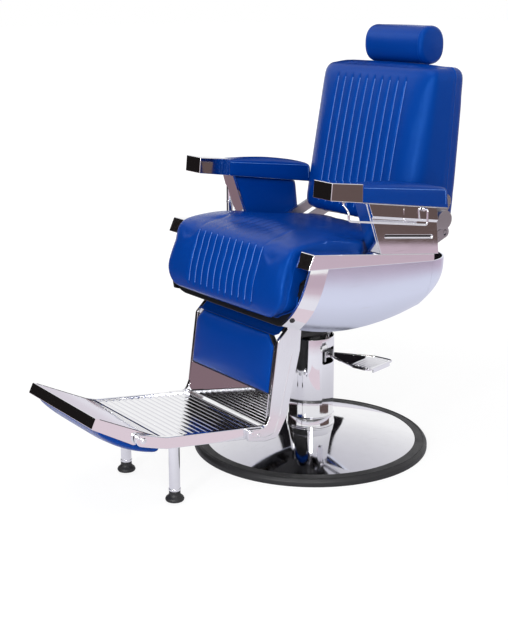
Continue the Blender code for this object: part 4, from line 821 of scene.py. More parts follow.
BLUE = Vinyl("blue_upholstery", "blue_vinyl", (0.0, 0.040, 0.27), (0.0, 0.047, 0.305), (0.19, 0.25))
BLUE_CORD = Vinyl("blue_cord", "blue_vinyl", (0.0, 0.040, 0.27), (0.002, 0.060, 0.36), (0.26, 0.36),
                  grain=900.0)
# Painted highlight: the thread is lighter than the vinyl, so that the sewn lines read as lit channel edges
THREAD = Coating("blue_thread", "blue_vinyl", (0.08, 0.24, 0.74), (0.16, 0.34, 0.82), (0.35, 0.5),
                 grain=2600.0)
CHROME = Metal("mirror_chrome", "chrome", (0.86, 0.86, 0.88), (0.62, 0.61, 0.61), (0.03, 0.07),
               lines=0.012)
COVER = Metal("polished_cover", "polished_aluminium", (0.76, 0.80, 0.92), (0.60, 0.60, 0.64), (0.15, 0.23),
              lines=0.05, wave=0.0008)
CASTING = Metal("polished_casting", "polished_aluminium", (0.84, 0.84, 0.86), (0.64, 0.63, 0.64),
                (0.12, 0.20), lines=0.04)
DECK = Metal("bright_deck", "polished_aluminium", (0.86, 0.86, 0.88), (0.64, 0.63, 0.63), (0.07, 0.12),
             lines=0.03)
STEEL = Metal("bright_steel_part", "bright_steel", (0.56, 0.56, 0.58), (0.40, 0.39, 0.38), (0.24, 0.36),
              lines=0.12)
BLACK = Coating("satin_black", "black_paint", (0.008, 0.008, 0.009), (0.05, 0.05, 0.05), (0.28, 0.42))
RUBBER = Coating("moulded_rubber", "black_rubber", (0.012, 0.012, 0.013), (0.055, 0.053, 0.05),
                 (0.42, 0.58), 500.0)
# Plywood grain on a near-black brown: the dark tone is painted shade for the space under the seat
WOOD = Plywood("stained_plywood", "plywood", (0.030, 0.022, 0.016), (0.055, 0.040, 0.028), (0.5, 0.65))


@dataclass
class Workshop:
    """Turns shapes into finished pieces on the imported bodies."""

    made: list[bpy.types.Object] = field(default_factory=list)

    def piece(self, name: str, shape: bmesh.types.BMesh, finish: Finish, body: str,
              stands_for: Sequence[str] = (), edge: Edge | None = None, sharp: float = 35.0,
              others: Sequence[Finish] = ()) -> bpy.types.Object:
        """Make a piece.

        Args:
            name: Its name.
            shape: Its shape in the chair's frame, which is used up.
            finish: Its finish.
            body: The body that it rides on.
            stands_for: Solids that it takes the place of.
            edge: How its edges are broken.
            sharp: Angle in degrees above which an edge stays sharp.
            others: Finishes of the faces that carry a higher material number.

        Returns:
            The piece.
        """
        bmesh.ops.recalc_face_normals(shape, faces=shape.faces)
        mesh = bpy.data.meshes.new(name)
        shape.to_mesh(mesh)
        shape.free()
        for coat in (finish, *others):
            mesh.materials.append(coat.material())
        mesh.shade_smooth()
        if edge is None:
            mesh.set_sharp_from_angle(angle=math.radians(sharp))
        made = bpy.data.objects.new(name, mesh)
        bpy.context.scene.collection.objects.link(made)
        if edge is not None:
            rounding = made.modifiers.new("broken_edges", "BEVEL")
            rounding.width = edge.value
            rounding.segments = 3
            rounding.limit_method = "ANGLE"
            rounding.angle_limit = math.radians(sharp)
            rounding.harden_normals = True
        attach(made, body)
        if stands_for:
            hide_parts(*stands_for)
        self.made.append(made)
        LOG.info("%s on %s, %d faces", name, body, len(mesh.polygons))
        return made

    def cut(self, made: bpy.types.Object, *shapes: bmesh.types.BMesh) -> None:
        """Cut shapes out of a piece for good.

        Args:
            made: The piece.
            *shapes: The cutters, which are used up.
        """
        cutter = bpy.data.objects.new("cutter", bpy.data.meshes.new("cutter"))
        tool = merge(*shapes)
        tool.to_mesh(cutter.data)
        tool.free()
        bpy.context.scene.collection.objects.link(cutter)
        step = made.modifiers.new("cut", "BOOLEAN")
        step.operation = "DIFFERENCE"
        step.solver = "EXACT"
        step.object = cutter
        while made.modifiers[0] != step:
            made.modifiers.move(len(made.modifiers) - 1, 0)
        others = [m for m in made.modifiers if m != step]
        for other in others:
            other.show_viewport = False
        bpy.context.view_layer.update()
        graph = bpy.context.evaluated_depsgraph_get()
        result = bpy.data.meshes.new_from_object(made.evaluated_get(graph))
        made.modifiers.remove(step)
        for other in others:
            other.show_viewport = True
        old = made.data
        made.data = result
        bpy.data.meshes.remove(old)
        spare = cutter.data
        bpy.data.objects.remove(cutter)
        bpy.data.meshes.remove(spare)

    def refinish(self, finish: Finish, *nodes: str) -> None:
        """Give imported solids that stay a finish.

        Args:
            finish: The finish.
            *nodes: Names of the solids.
        """
        for name in nodes:
            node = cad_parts[name]
            for slot in node.material_slots:
                slot.material = finish.material()
            LOG.info("%s kept, in %s", name, finish.name)


# Soft pads


@dataclass
class Sewing:
    """Sewn lines on a pad, pulled in below its surface.

    Attributes:
        lines: X of each line.
        depth: How far a line is pulled in.
        shown: Share 0 to 1 of the pull at a point of the pad's outer face.
        reach: Half width of the valley at a line.
    """

    lines: Sequence[float]
    depth: float
    shown: Callable[[Vector], float]
    reach: float = 0.0017

    def pull(self, x: float, spot: Vector) -> float:
        """Pull at a point.

        Args:
            x: Its X.
            spot: Its (y, z).

        Returns:
            Depth of the surface there below a plain one.
        """
        near = min(abs(x - line) for line in self.lines)
        return self.depth * math.exp(-(near / self.reach) ** 2) * self.shown(spot)


@dataclass
class Pad:
    """A pad with a flat inner face and a full outer face, drawn in round its rim.

    Attributes:
        name: Name of the piece.
        body: The body that it rides on.
        nodes: Solids that it takes the place of.
        inner: (y, z) of the inner face at a share along the pad; None if it is skinned elsewhere.
        outer: (y, z) of the outer face there.
        half: Half width there.
        powers: How squarely it keeps its fullness to its sides and ends.
        crown: Extra height in its middle.
        middle: X of its middle line.
        step: Spacing of its points.
        sewing: Its sewn lines.
        slack: How much smaller it starts, before it is puffed up.
        side_slack: The same for its width.
        cap: Most that a point may move when it is puffed up.
        fill: How tightly it is filled, 0 to 1; not used.
        power: Pressure inside it.
        rim_step: Least distance between its points near the rim.
        held: Points that don't move when it is puffed up.
        object: The piece, once it is made.
    """

    name: str
    body: str
    nodes: Sequence[str]
    inner: Curve | None = None
    outer: Curve | None = None
    half: Callable[[float], float] | None = None
    powers: Pair = (6.0, 9.0)
    crown: float = 0.004
    middle: float = 0.0
    step: float = 0.008
    sewing: Sewing | None = None
    slack: float = 0.004
    side_slack: float = 0.001
    cap: float = 0.007
    fill: float = 0.8
    power: float = 4.0
    rim_step: float = 0.0003
    held: list[int] = field(default_factory=list)
    object: bpy.types.Object | None = None

    def stations(self, width: float, height: float, power: float) -> list[float]:
        """Places from -1 to 1 with even steps along a drawn-in section.

        Args:
            width: Half width of the section.
            height: Its height.
            power: Squareness of its draw-in.

        Returns:
            The places.
        """
        fine = np.sin(np.linspace(-math.pi / 2, math.pi / 2, 4001))
        rise = np.array([drawn_in(u, power) for u in fine]) * height
        run = np.concatenate([[0.0], np.cumsum(np.hypot(np.diff(fine * width), np.diff(rise)))])
        count = max(8, int(round(run[-1] / self.step)))
        return [float(np.interp(run[-1] * k / count, run, fine)) for k in range(count + 1)]

    def apart(self, places: Sequence[float], half: float) -> list[float]:
        """Hold places near the rim a little apart, so that no two points fall together.

        Args:
            places: Places from -1 to 1.
            half: Length that 1 stands for.

        Returns:
            The places, moved inward where they were too close.
        """
        least = self.rim_step / half
        last = len(places) - 1
        return [min(max(u, -1 + least * k), 1 - least * (last - k)) for k, u in enumerate(places)]

    def columns(self, width: float, height: float) -> list[float]:
        """Columns across the pad, with extra ones at its sewn lines.

        Args:
            width: Half width of the pad.
            height: Its height.

        Returns:
            Places from -1 to 1.
        """
        places = self.stations(width, height, self.powers[0])
        if self.sewing is None:
            return places
        pitch = abs(self.sewing.lines[1] - self.sewing.lines[0])
        low, high = min(self.sewing.lines) - pitch * 0.45, max(self.sewing.lines) + pitch * 0.45
        kept = [u for u in places if not low <= u * width <= high]
        for line in self.sewing.lines:
            kept += [(line + pitch * part) / width for part in (-0.34, -0.17, -0.06, 0.0, 0.06, 0.17, 0.34)]
        return sorted(kept)

    def make(self, shop: Workshop) -> None:
        """Skin the pad between its inner and outer faces.

        Args:
            shop: The workshop.
        """
        shares = np.linspace(0, 1, 33)
        length = sum((self.outer(b) - self.outer(a)).length for a, b in zip(shares, shares[1:]))
        height = (self.outer(0.5) - self.inner(0.5)).length
        columns = self.columns(self.half(0.5), height)
        rows = self.stations(length / 2, height, self.powers[1])
        across = self.apart(columns, self.half(0.5))
        along = self.apart(rows, length / 2)
        flats: list[list[Spot]] = []
        fulls: list[list[Spot]] = []
        for i, v in enumerate(rows):
            share = (along[i] + 1) / 2
            low, high = self.inner(share), self.outer(share)
            way = (high - low).normalized()
            wide = self.half(share) - self.side_slack
            flats.append([])
            fulls.append([])
            for j, u in enumerate(columns):
                x = across[j] * wide
                full = drawn_in(u, self.powers[0]) * drawn_in(v, self.powers[1])
                rise = (high - low - way * self.slack) * full + way * self.crown * (1 - u * u) * (1 - v * v)
                if self.sewing:
                    rise -= way * self.sewing.pull(x, high)
                flats[-1].append((self.middle + x, low.x, low.y))
                fulls[-1].append((self.middle + x, low.x + rise.x, low.y + rise.y))
        shape, skins = two_skins(flats, fulls)
        self.held = [vert.index for row in skins[0] for vert in row]
        if self.sewing:
            for i, v in enumerate(rows):
                spot = self.outer((v + 1) / 2)
                for j, u in enumerate(columns):
                    near = min(abs(u * self.half(0.5) - line) for line in self.sewing.lines)
                    if near < 1e-5 and self.sewing.shown(spot) > 0.5:
                        self.held.append(skins[1][i][j].index)
        self.cover(shop, shape)

    def cover(self, shop: Workshop, shape: bmesh.types.BMesh) -> None:
        """Make the piece of the pad's skin.

        Args:
            shop: The workshop.
            shape: The skin, which is used up.
        """
        self.object = shop.piece(self.name, shape, BLUE, self.body, self.nodes, sharp=80.0)


@dataclass
class Puffing:
    """Puffs all pads at once with air pressure, and keeps the result.

    Attributes:
        pads: The pads.
        frames: Steps of the simulation.
        sink: Share of an inward move that is kept.
    """

    pads: Sequence[Pad]
    frames: int = 20
    sink: float = 0.3

    def run(self) -> None:
        for pad in self.pads:
            self.dress(pad)
        scene = bpy.context.scene
        for number in range(1, self.frames + 1):
            scene.frame_set(number)
        results = [self.taken(pad) for pad in self.pads]
        for pad, spots in zip(self.pads, results):
            pad.object.modifiers.clear()
            pad.object.data.vertices.foreach_set("co", spots.ravel())
            pad.object.data.update()
        scene.frame_set(1)
        for pad in self.pads:
            pad.object.vertex_groups.clear()
            smooth = pad.object.modifiers.new("finer", "SUBSURF")
            smooth.levels = smooth.render_levels = 1
            LOG.info("%s puffed up", pad.name)

    def dress(self, pad: Pad) -> None:
        """Give a pad its cloth settings.

        Args:
            pad: The pad.
        """
        group = pad.object.vertex_groups.new(name="held")
        group.add(pad.held, 1.0, "REPLACE")
        cloth = pad.object.modifiers.new("cover", "CLOTH")
        rules = cloth.settings
        rules.quality = 6
        rules.mass = 0.35
        rules.tension_stiffness = rules.compression_stiffness = 12.0
        rules.shear_stiffness = 6.0
        rules.bending_stiffness = 0.8
        rules.use_pressure = True
        rules.uniform_pressure_force = pad.power
        rules.vertex_group_mass = "held"
        rules.effector_weights.gravity = 0.0
        cloth.collision_settings.use_collision = False
        cloth.point_cache.frame_start = 1
        cloth.point_cache.frame_end = self.frames

    def taken(self, pad: Pad) -> np.ndarray:
        """Read a puffed pad, with its movement held to the cap.

        Args:
            pad: The pad.

        Returns:
            Its points.
        """
        graph = bpy.context.evaluated_depsgraph_get()
        puffed = pad.object.evaluated_get(graph).data
        count = len(pad.object.data.vertices)
        first, after = np.zeros(count * 3, np.float32), np.zeros(count * 3, np.float32)
        pad.object.data.vertices.foreach_get("co", first)
        puffed.vertices.foreach_get("co", after)
        first, after = first.reshape(-1, 3), after.reshape(-1, 3)
        move = after - first
        out = np.zeros(count * 3, np.float32)
        pad.object.data.vertex_normals.foreach_get("vector", out)
        out = out.reshape(-1, 3)
        sunk = np.minimum(np.sum(move * out, axis=1, keepdims=True), 0.0)
        move -= (1 - self.sink) * sunk * out
        size = np.linalg.norm(move, axis=1, keepdims=True)
        move *= pad.cap * np.tanh(size / pad.cap) / np.maximum(size, 1e-9)
        side = max(pad.side_slack, 1e-5)
        move[:, 0] = side * np.tanh(move[:, 0] / side)
        LOG.info("%s moved %.1f mm at most", pad.name, 1000 * float(np.linalg.norm(move, axis=1).max()))
        return first + move


class Needle:
    """Sews threads onto a finished pad."""

    length: float = 0.0050
    pitch: float = 0.0060
    radius: float = 0.00075

    def __init__(self, pad: bpy.types.Object) -> None:
        """Read the pad's surface.

        Args:
            pad: The finished pad.
        """
        bpy.context.view_layer.update()
        graph = bpy.context.evaluated_depsgraph_get()
        self.tree = BVHTree.FromObject(pad, graph)
        self.shapes: list[bmesh.types.BMesh] = []

    def row(self, points: Sequence[Vector], way: Vector, lift: float = 0.0005) -> None:
        """Sew a row of stitches.

        Args:
            points: Points near the line, outside the pad.
            way: The way from them to the pad.
            lift: How far the thread stands off the surface.
        """
        landed = []
        for point in points:
            hit, normal, _, _ = self.tree.ray_cast(point, way)
            if hit is not None:
                landed.append(hit + normal * lift)
        if len(landed) < 2:
            return
        run = np.concatenate([[0.0], np.cumsum([(b - a).length for a, b in zip(landed, landed[1:])])])
        spots = np.array(landed)

        def at(place: float) -> Vector:
            """Point at a length along the line."""
            return Vector([float(np.interp(place, run, spots[:, k])) for k in range(3)])

        for k in range(int(run[-1] / self.pitch)):
            start = k * self.pitch
            a, b = at(start), at(start + self.length)
            middle = (a + b) / 2 - way * 0.0003
            self.shapes.append(wire([a, middle, b], self.radius, 6))

    def finish(self, shop: Workshop, name: str, body: str) -> None:
        """Make one piece of all the stitches."""
        if self.shapes:
            shop.piece(name, merge(*self.shapes), THREAD, body)


# Sub-assemblies


@dataclass
class Assembly:
    """A sub-assembly, and the workshop that makes its pieces."""

    shop: Workshop


@dataclass
class PumpBase(Assembly):
    """Mirror dome on its rubber rim, and the column with its pedal slot."""

    radius: float = 0.330
    rim_width: float = 0.010
    rim_height: float = 0.021
    rim_lip: float = 0.024
    plate: float = 0.0123
    sheet: float = 0.003
    dome_top: float = 0.062
    dome_curve: float = 1.5
    pump_radius: float = 0.040
    column: float = 0.065
    wall: float = 0.0035
    column_top: float = 0.318
    collar: float = 0.030
    collar_step: float = 0.0015
    slot_z: float = 0.268
    slot: Pair = (0.052, 0.046)
    slot_turn: float = math.radians(14.0)
    slot_round: float = 0.006
    rim_side: float = 0.62
    rim_slope: Pair = (0.006, 0.004)
    rim_crown: float = 0.0012
    bead_in: float = 0.0105
    bead_up: float = 0.0004
    bead_r: float = 0.0011
    skirt: Pair = (0.0015, 0.004)
    facets: int = 160
    column_facets: int = 128
    rim_rounds: tuple[float, ...] = (0.0, 0.003, 0.007, 0.004, 0.0015, 0.0, 0.0)
    ring_rounds: tuple[float, ...] = (0.0, 0.001, 0.001, 0.0005, 0.0008, 0.0, 0.0)
    tube_rounds: tuple[float, ...] = (0.0, 0.0006, 0.0012, 0.0012)

    @property
    def disc_edge(self) -> float:
        """Radius of the dome's sheet."""
        return self.radius - self.rim_width - HAIR

    def dome(self, radius: float) -> float:
        """Height of the dome's upper face.

        Args:
            radius: Distance from the column's axis.

        Returns:
            The height.
        """
        share = max(0.0, (radius - self.column) / (self.disc_edge - self.column))
        low = self.plate + self.sheet
        return low + (self.dome_top - low) * (1 - share ** self.dome_curve)

    def build(self) -> None:
        """Make the base's pieces."""
        radii = np.linspace(self.disc_edge, self.pump_radius + HAIR, 48)
        top = [(r, self.dome(r)) for r in radii]
        under = [(r, z - self.sheet) for r, z in reversed(top)]
        self.shop.piece("mirror_dome", turned(top + under, self.facets), CHROME, "base", ["base_disc"])

        lip = self.radius - self.rim_lip - self.rim_width
        wall = self.radius - self.rim_width
        corners = [(wall, 0.0), (self.radius, 0.0), (self.radius, self.rim_height * self.rim_side)]
        corners += [(self.radius - self.rim_slope[0], self.rim_height)]
        corners += [(lip + self.rim_slope[1], self.rim_height + self.rim_crown)]
        corners += [(lip, self.dome(lip) + HAIR), (wall, self.dome(wall) + HAIR)]
        rim = turned(fillet(corners, self.rim_rounds), self.facets)
        rim = merge(rim, turned(self.bead(), self.facets))
        self.shop.piece("rubber_rim", rim, RUBBER, "base", ["base_rim"])

        bore, wide = self.column - self.wall, self.column + self.collar_step
        low, high = self.dome_top + HAIR, self.dome_top + HAIR + self.collar
        proud, tall = self.skirt
        ring = [(bore, low), (wide + proud, low), (wide + proud, low + tall), (wide, low + tall + proud)]
        ring += [(wide, high - tall / 2), (self.column, high), (bore, high)]
        ring = turned(fillet(ring, self.ring_rounds, 4), self.column_facets)
        self.shop.piece("column_foot_ring", ring, CHROME, "base", ["column_collar"])

        start = high + HAIR
        tube = [(bore, start), (self.column, start), (self.column, self.column_top), (bore, self.column_top)]
        tube = turned(fillet(tube, self.tube_rounds, 4), self.column_facets)
        sleeve = self.shop.piece("column_tube", tube, CHROME, "base", ["column_sleeve"])
        half, tall = self.slot[0] / 2, self.slot[1] / 2
        window = [(-half, self.slot_z - tall), (half, self.slot_z - tall)]
        window += [(half, self.slot_z + tall), (-half, self.slot_z + tall)]
        hole = prism(fillet(window, self.slot_round), self.pump_radius, self.column + self.pump_radius,
                     Axis.X)
        self.shop.cut(sleeve, spun(hole, self.slot_turn))
        self.shop.refinish(STEEL, "base_plate", "pump_cylinder", "pedal_bracket")
        self.shop.refinish(RUBBER, "pump_gland")
        self.shop.refinish(CHROME, "piston_rod")

    def bead(self) -> Outline:
        """Profile of the small round bead on the rim.

        Returns:
            The closed profile.
        """
        radius, height = self.radius - self.bead_in, self.rim_height + self.bead_up
        turns = np.linspace(0, 2 * math.pi, 12, False)
        return [(radius + self.bead_r * math.cos(a), height + self.bead_r * math.sin(a)) for a in turns]


@dataclass
class Pedal(Assembly):
    """Fan-shaped pump pedal with a rolled border and grip ribs."""

    turn: float = math.radians(14.0)
    height: float = 0.268
    pivot: float = 0.056
    column: float = 0.065
    reach: float = 0.238
    width: float = 0.118
    neck: float = 0.030
    thick: float = 0.005
    inset: Pair = (0.001, 0.0006)
    neck_in: float = 0.002
    border_in: float = 0.0005
    hub: float = 0.0085
    pin: float = 0.004
    ribs: int = 6
    rib_pitch: float = 0.0105
    border: float = 0.0024
    flare: float = 0.055
    bend: float = 0.024
    corner: float = 0.014
    rib_r: float = 0.0028
    rib_sink: float = 0.0012
    rib_first: float = 0.013
    rib_side: float = 0.011
    rib_taper: float = 0.35
    lip_t: float = 0.004
    lip_side: float = 0.020
    lip_drop: float = 0.0125

    def build(self) -> None:
        """Make the pedal as one piece."""
        top = self.height + self.hub - self.thick / 4
        flare = self.reach - self.flare
        neck, half = self.neck / 2, self.width / 2
        side = [(self.pivot + self.neck_in, -neck), (self.column + self.hub, -neck), (flare, -half),
                (self.reach, -half)]
        outline = fillet(side + [(x, -y) for x, y in reversed(side)],
                         [0.0, self.bend, self.bend, self.corner, self.corner, self.bend, self.bend, 0.0], 7)
        plate = prism(outline, top - self.thick + self.inset[0], top - self.inset[1], Axis.Z)
        rim = [(x, y) for x, y in outline if x > self.column + self.hub]
        level = top - self.border / 2
        border = wire([(x, y - math.copysign(self.border, y), level) for x, y in rim], self.border, 10)
        for vert in border.verts:
            vert.co.x = min(vert.co.x, self.reach - self.border_in)
        ribs = []
        for k in range(self.ribs):
            x, z = self.reach - self.rib_first - self.rib_pitch * k, top - self.rib_sink
            wide = half - self.rib_side - max(0.0, flare - x) * self.rib_taper
            ribs.append(bar((x, -wide, z), (x, wide, z), self.rib_r, 14, self.rib_sink))
        ends = [(self.pivot, sign * (neck + HAIR), self.height) for sign in (-1, 1)]
        hub = bar(*ends, self.hub, 32, 0.001)
        brace_end = (self.reach - self.width / 4, 0, top - self.thick - self.pin / 2)
        brace = bar((self.pivot, 0, self.height - self.hub / 2), brace_end, self.pin, 16)
        lip_half = half - self.lip_side
        lip = block((self.reach - self.lip_t, -lip_half, top - self.lip_drop),
                    (self.reach - HAIR, lip_half, top - self.lip_t / 2))
        whole = merge(plate, border, hub, brace, lip, *ribs)
        self.shop.piece("pump_pedal", spun(whole, self.turn), CHROME, "pedal", ["foot_pedal"], Edge.CRISP)


@dataclass
class SeatHull(Assembly):
    """Polished side and rear covers under chrome rails, the black trim board and the recline lever."""

    rail_x: float = 0.315
    rail_width: float = 0.052
    rail_front_top: Pair = (-0.248, 0.631)
    rail_front_low: Pair = (-0.2655, 0.5935)
    rail_rear: Pair = (0.158, 0.5825)
    rail_rear_low: float = 0.563
    cover_x: float = 0.310
    cover_t: float = 0.004
    tuck: float = 0.048
    front_top: float = -0.242
    front_low: float = -0.294
    seam: float = 0.156
    corner: float = 0.100
    low_front: float = 0.446
    low_mid: float = 0.405
    low_mid_y: float = -0.070
    low_rear: float = 0.468
    flange: float = 0.042
    toe: float = 0.017
    flange_t: float = 0.003
    flange_step: Pair = (0.0008, 0.0012)
    flange_bolt: Pair = (0.017, 0.016)
    bolt_size: Pair = (0.0056, 0.0040)
    strips: tuple[float, float, int] = (0.056, 0.386, 23)
    levels: int = 22
    trim_half: float = 0.292
    trim_t: float = 0.014
    trim_round: float = 0.080
    trim_foot: float = -0.274
    trim_slope: float = 0.064 / 0.175
    hem: float = 0.457
    board_low: float = 0.545
    trim_drop: float = 0.022
    trim_gap: float = 0.0012
    ear_in: float = 0.2645
    ear_top: float = 0.588
    lever_y: float = -0.043
    lever_z: float = 0.505
    lever_top: float = 0.702
    lever_r: float = 0.0095
    lever_neck: float = 0.0115
    lever_tail: float = 0.006
    lever_dome: float = 0.0042
    lever_ring: Pair = (0.052, 0.046)
    lever_ring_proud: float = 0.0008
    lever_hub: tuple[Pair, ...] = ((0.0, 0.0), (0.017, 0.0), (0.017, 0.010), (0.013, 0.0145))

    def rail_top(self, y: float) -> float:
        """Height of the rail's upper edge."""
        share = (y - self.rail_front_top[0]) / (self.rail_rear[0] - self.rail_front_top[0])
        return self.rail_front_top[1] + (self.rail_rear[1] - self.rail_front_top[1]) * share

    def rail_low(self, y: float) -> float:
        """Height of the rail's lower edge."""
        share = (y - self.rail_front_low[0]) / (self.rail_rear[0] - self.rail_front_low[0])
        return self.rail_front_low[1] + (self.rail_rear_low - self.rail_front_low[1]) * share

    def cover_low(self, y: float) -> float:
        """Height of the cover's lower edge.

        Args:
            y: Place along the seat.

        Returns:
            The height.
        """
        if y < self.low_mid_y:
            share = (self.low_mid_y - y) / (self.low_mid_y - self.front_low)
            return self.low_mid + (self.low_front - self.low_mid) * share ** 2
        share = (y - self.low_mid_y) / (self.seam + self.corner - self.low_mid_y)
        return self.low_mid + (self.low_rear - self.low_mid) * share ** 2

    def cover_out(self, y: float, z: float) -> float:
        """Reach of the cover's outer face at a place.

        Args:
            y: Place along the seat.
            z: Height of the place.

        Returns:
            Distance from the middle.
        """
        share = (self.rail_low(y) - z) / (self.rail_low(y) - self.cover_low(y))
        level = min(1.0, max(0.0, share))
        front = self.front_top + (self.front_low - self.front_top) * level
        return self.cover_x - self.tuck * level ** 3 - self.toe_in(y - front)

    def toe_in(self, part: float) -> float:
        """How far the flange leans inward, at a distance behind the cover's front edge."""
        return self.toe * max(0.0, 1 - part / self.flange)

    def trim_front(self, z: float) -> float:
        """Depth of the trim board's front face."""
        return self.trim_foot + self.trim_slope * (z - self.hem)

    def build(self) -> None:
        """Make the hull's pieces."""
        levels = [k / self.levels for k in range(self.levels + 1)]
        for side in Side:
            self.side_cover(side, levels)
            self.rail(side)
        self.rear_cover(levels)
        self.trim()
        self.lever()
        self.shop.refinish(BLACK, "mount_plate", "seat_frame", "gas_spring_barrel")
        self.shop.refinish(STEEL, "leg_pivot_shaft", "link_left", "link_right", "link_crossbar",
                           "gas_spring_rod", "hinge_bracket_left", "hinge_bracket_right",
                           "hinge_plate_left", "hinge_plate_right")
        self.shop.refinish(WOOD, "seat_board")

    def side_cover(self, side: Side, levels: Sequence[float]) -> None:
        """Side cover with a raised flange along its front edge, and the bolt in it.

        Args:
            side: The side.
            levels: Shares down the cover.
        """
        stations = [(0.0, 1.0), (0.012, 1.0), (0.024, 1.0), (self.flange - self.flange_step[0], 1.0)]
        stations += [(self.flange + self.flange_step[1], 0.0)]
        stations += [(d, 0.0) for d in np.linspace(*self.strips)] + [(None, 0.0)]
        outer, inner = [], []
        for part, proud in stations:
            rows: list[list[Spot]] = [[], []]
            for level in levels:
                front = self.front_top + (self.front_low - self.front_top) * level
                y = self.seam - HAIR if part is None else front + part
                y = min(y, self.seam - HAIR)
                top = self.rail_low(y) - HAIR
                z = top + (self.cover_low(y) - top) * level
                x = self.cover_x - self.tuck * level ** 3 - self.toe_in(y - front)
                rows[0].append((side.value * (x + self.flange_t * proud), y, z))
                rows[1].append((side.value * (x - self.cover_t), y, z))
            outer.append(rows[0])
            inner.append(rows[1])
        cover = shell(outer, inner)
        self.coat(cover, len(levels) - 1, len(stations) - 1, 4)
        self.shop.piece("polished_side_" + side.tag, cover, COVER, "seat", ["side_cover_" + side.tag],
                        sharp=28.0, others=(CHROME, BLACK))
        y, z = self.front_low + self.flange_bolt[0], self.low_front + self.flange_bolt[1]
        out = Vector((side.value, 0.0, -0.55)).normalized()
        seat = (side.value * (self.cover_out(y, z) + self.flange_t - 0.0006), y, z)
        self.shop.piece("flange_bolt_" + side.tag, bolt(seat, out, *self.bolt_size), BLACK, "seat",
                        edge=Edge.CRISP)

    def coat(self, cover: bmesh.types.BMesh, steps: int, runs: int, flange: int) -> None:
        """Number a cover's faces: 1 on the flange, 2 on the black inside, which is painted shade for the
        dark space under the seat.

        Args:
            cover: The cover's shape, outer skin first.
            steps: Faces down one strip.
            runs: Strips along the cover.
            flange: Strips that the flange takes.
        """
        cover.faces.ensure_lookup_table()
        for number, face in enumerate(cover.faces):
            strip = number // steps
            if strip < flange:
                face.material_index = 1
            # Painted shade: the inside faces take the black finish, so that the space under the seat looks
            # dark
            elif runs <= strip < 2 * runs:
                face.material_index = 2

    def rail(self, side: Side) -> None:
        """Chrome rail between the cover and the arm.

        Args:
            side: The side.
        """
        profile = [self.rail_front_top, self.rail_front_low, (self.rail_rear[0], self.rail_rear_low),
                   self.rail_rear]
        rail = prism(profile, *side.span(self.rail_x - self.rail_width, self.rail_x), Axis.X)
        self.shop.piece("chrome_rail_" + side.tag, rail, CHROME, "seat", ["seat_rail_" + side.tag],
                        Edge.EASED)

    def rear_cover(self, levels: Sequence[float]) -> None:
        """Rear cover, round at its two corners.

        Args:
            levels: Shares down the cover.
        """
        centre = self.cover_x - self.corner
        path = [(centre, math.cos(a), math.sin(a)) for a in np.linspace(0, math.pi / 2, 17)]
        path += [(x, 0.0, 1.0) for x in np.linspace(centre, 0, 7)[1:]]
        path += [(-x, -c, s) for x, c, s in reversed(path[:-1])]
        top = self.rail_low(self.seam) - HAIR
        outer, inner = [], []
        for x, c, s in path:
            rows: list[list[Spot]] = [[], []]
            for level in levels:
                radius = self.corner - self.tuck * level ** 3
                z = top + (self.cover_low(self.seam + s * self.corner) - top) * level
                rows[0].append((x + c * radius, self.seam + s * radius, z))
                slim = radius - self.cover_t
                rows[1].append((x + c * slim, self.seam + s * slim, z))
            outer.append(rows[0])
            inner.append(rows[1])
        cover = shell(outer, inner)
        self.coat(cover, len(levels) - 1, len(path) - 1, 0)
        self.shop.piece("polished_rear", cover, COVER, "seat", ["rear_cover"], sharp=50.0,
                        others=(CHROME, BLACK))

    def trim(self) -> None:
        """Black board round the front of the seat."""
        high, low = self.board_low, self.hem - self.trim_drop
        outline: Outline = [(self.ear_in, high), (self.ear_in, self.ear_top)]
        depths = 0.0, self.trim_t
        for share in np.linspace(0, 1, 51):
            z = self.ear_top + (low - self.ear_top) * share
            wide = self.trim_half - round_off(z - low, self.trim_round)
            inside = min(self.cover_out(self.trim_front(z) + d, max(z, self.low_front)) for d in depths)
            outline.append((min(wide, inside - self.cover_t - self.trim_gap), z))
        outline += [(-x, z) for x, z in reversed(outline)]
        board = prism(outline, 0.0, self.trim_t, Axis.Y)
        for vert in board.verts:
            vert.co.y += self.trim_front(vert.co.z)
        self.shop.piece("black_trim", board, BLACK, "seat", ["seat_trim"], Edge.SOFT)

    def lever(self) -> None:
        """Recline lever with a domed grip on a turned hub."""
        low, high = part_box("recline_lever")
        middle = low.x + self.lever_r
        hub = [(radius, high.x - depth) for radius, depth in self.lever_hub]
        hub += [(self.lever_neck, middle), (0.0, middle)]
        boss = turned(hub, 40, Axis.X, (0.0, self.lever_y, self.lever_z))
        foot = (middle, self.lever_y, self.lever_z - self.lever_tail)
        grip = bar(foot, (middle, self.lever_y, self.lever_top), self.lever_r, 40, self.lever_dome)
        ends = [(middle, self.lever_y, self.lever_top - drop) for drop in self.lever_ring]
        collar = bar(*ends, self.lever_r + self.lever_ring_proud, 40, self.lever_ring_proud)
        self.shop.piece("lever_grip", merge(boss, grip, collar), CHROME, "recline_lever", ["recline_lever"],
                        sharp=40.0)


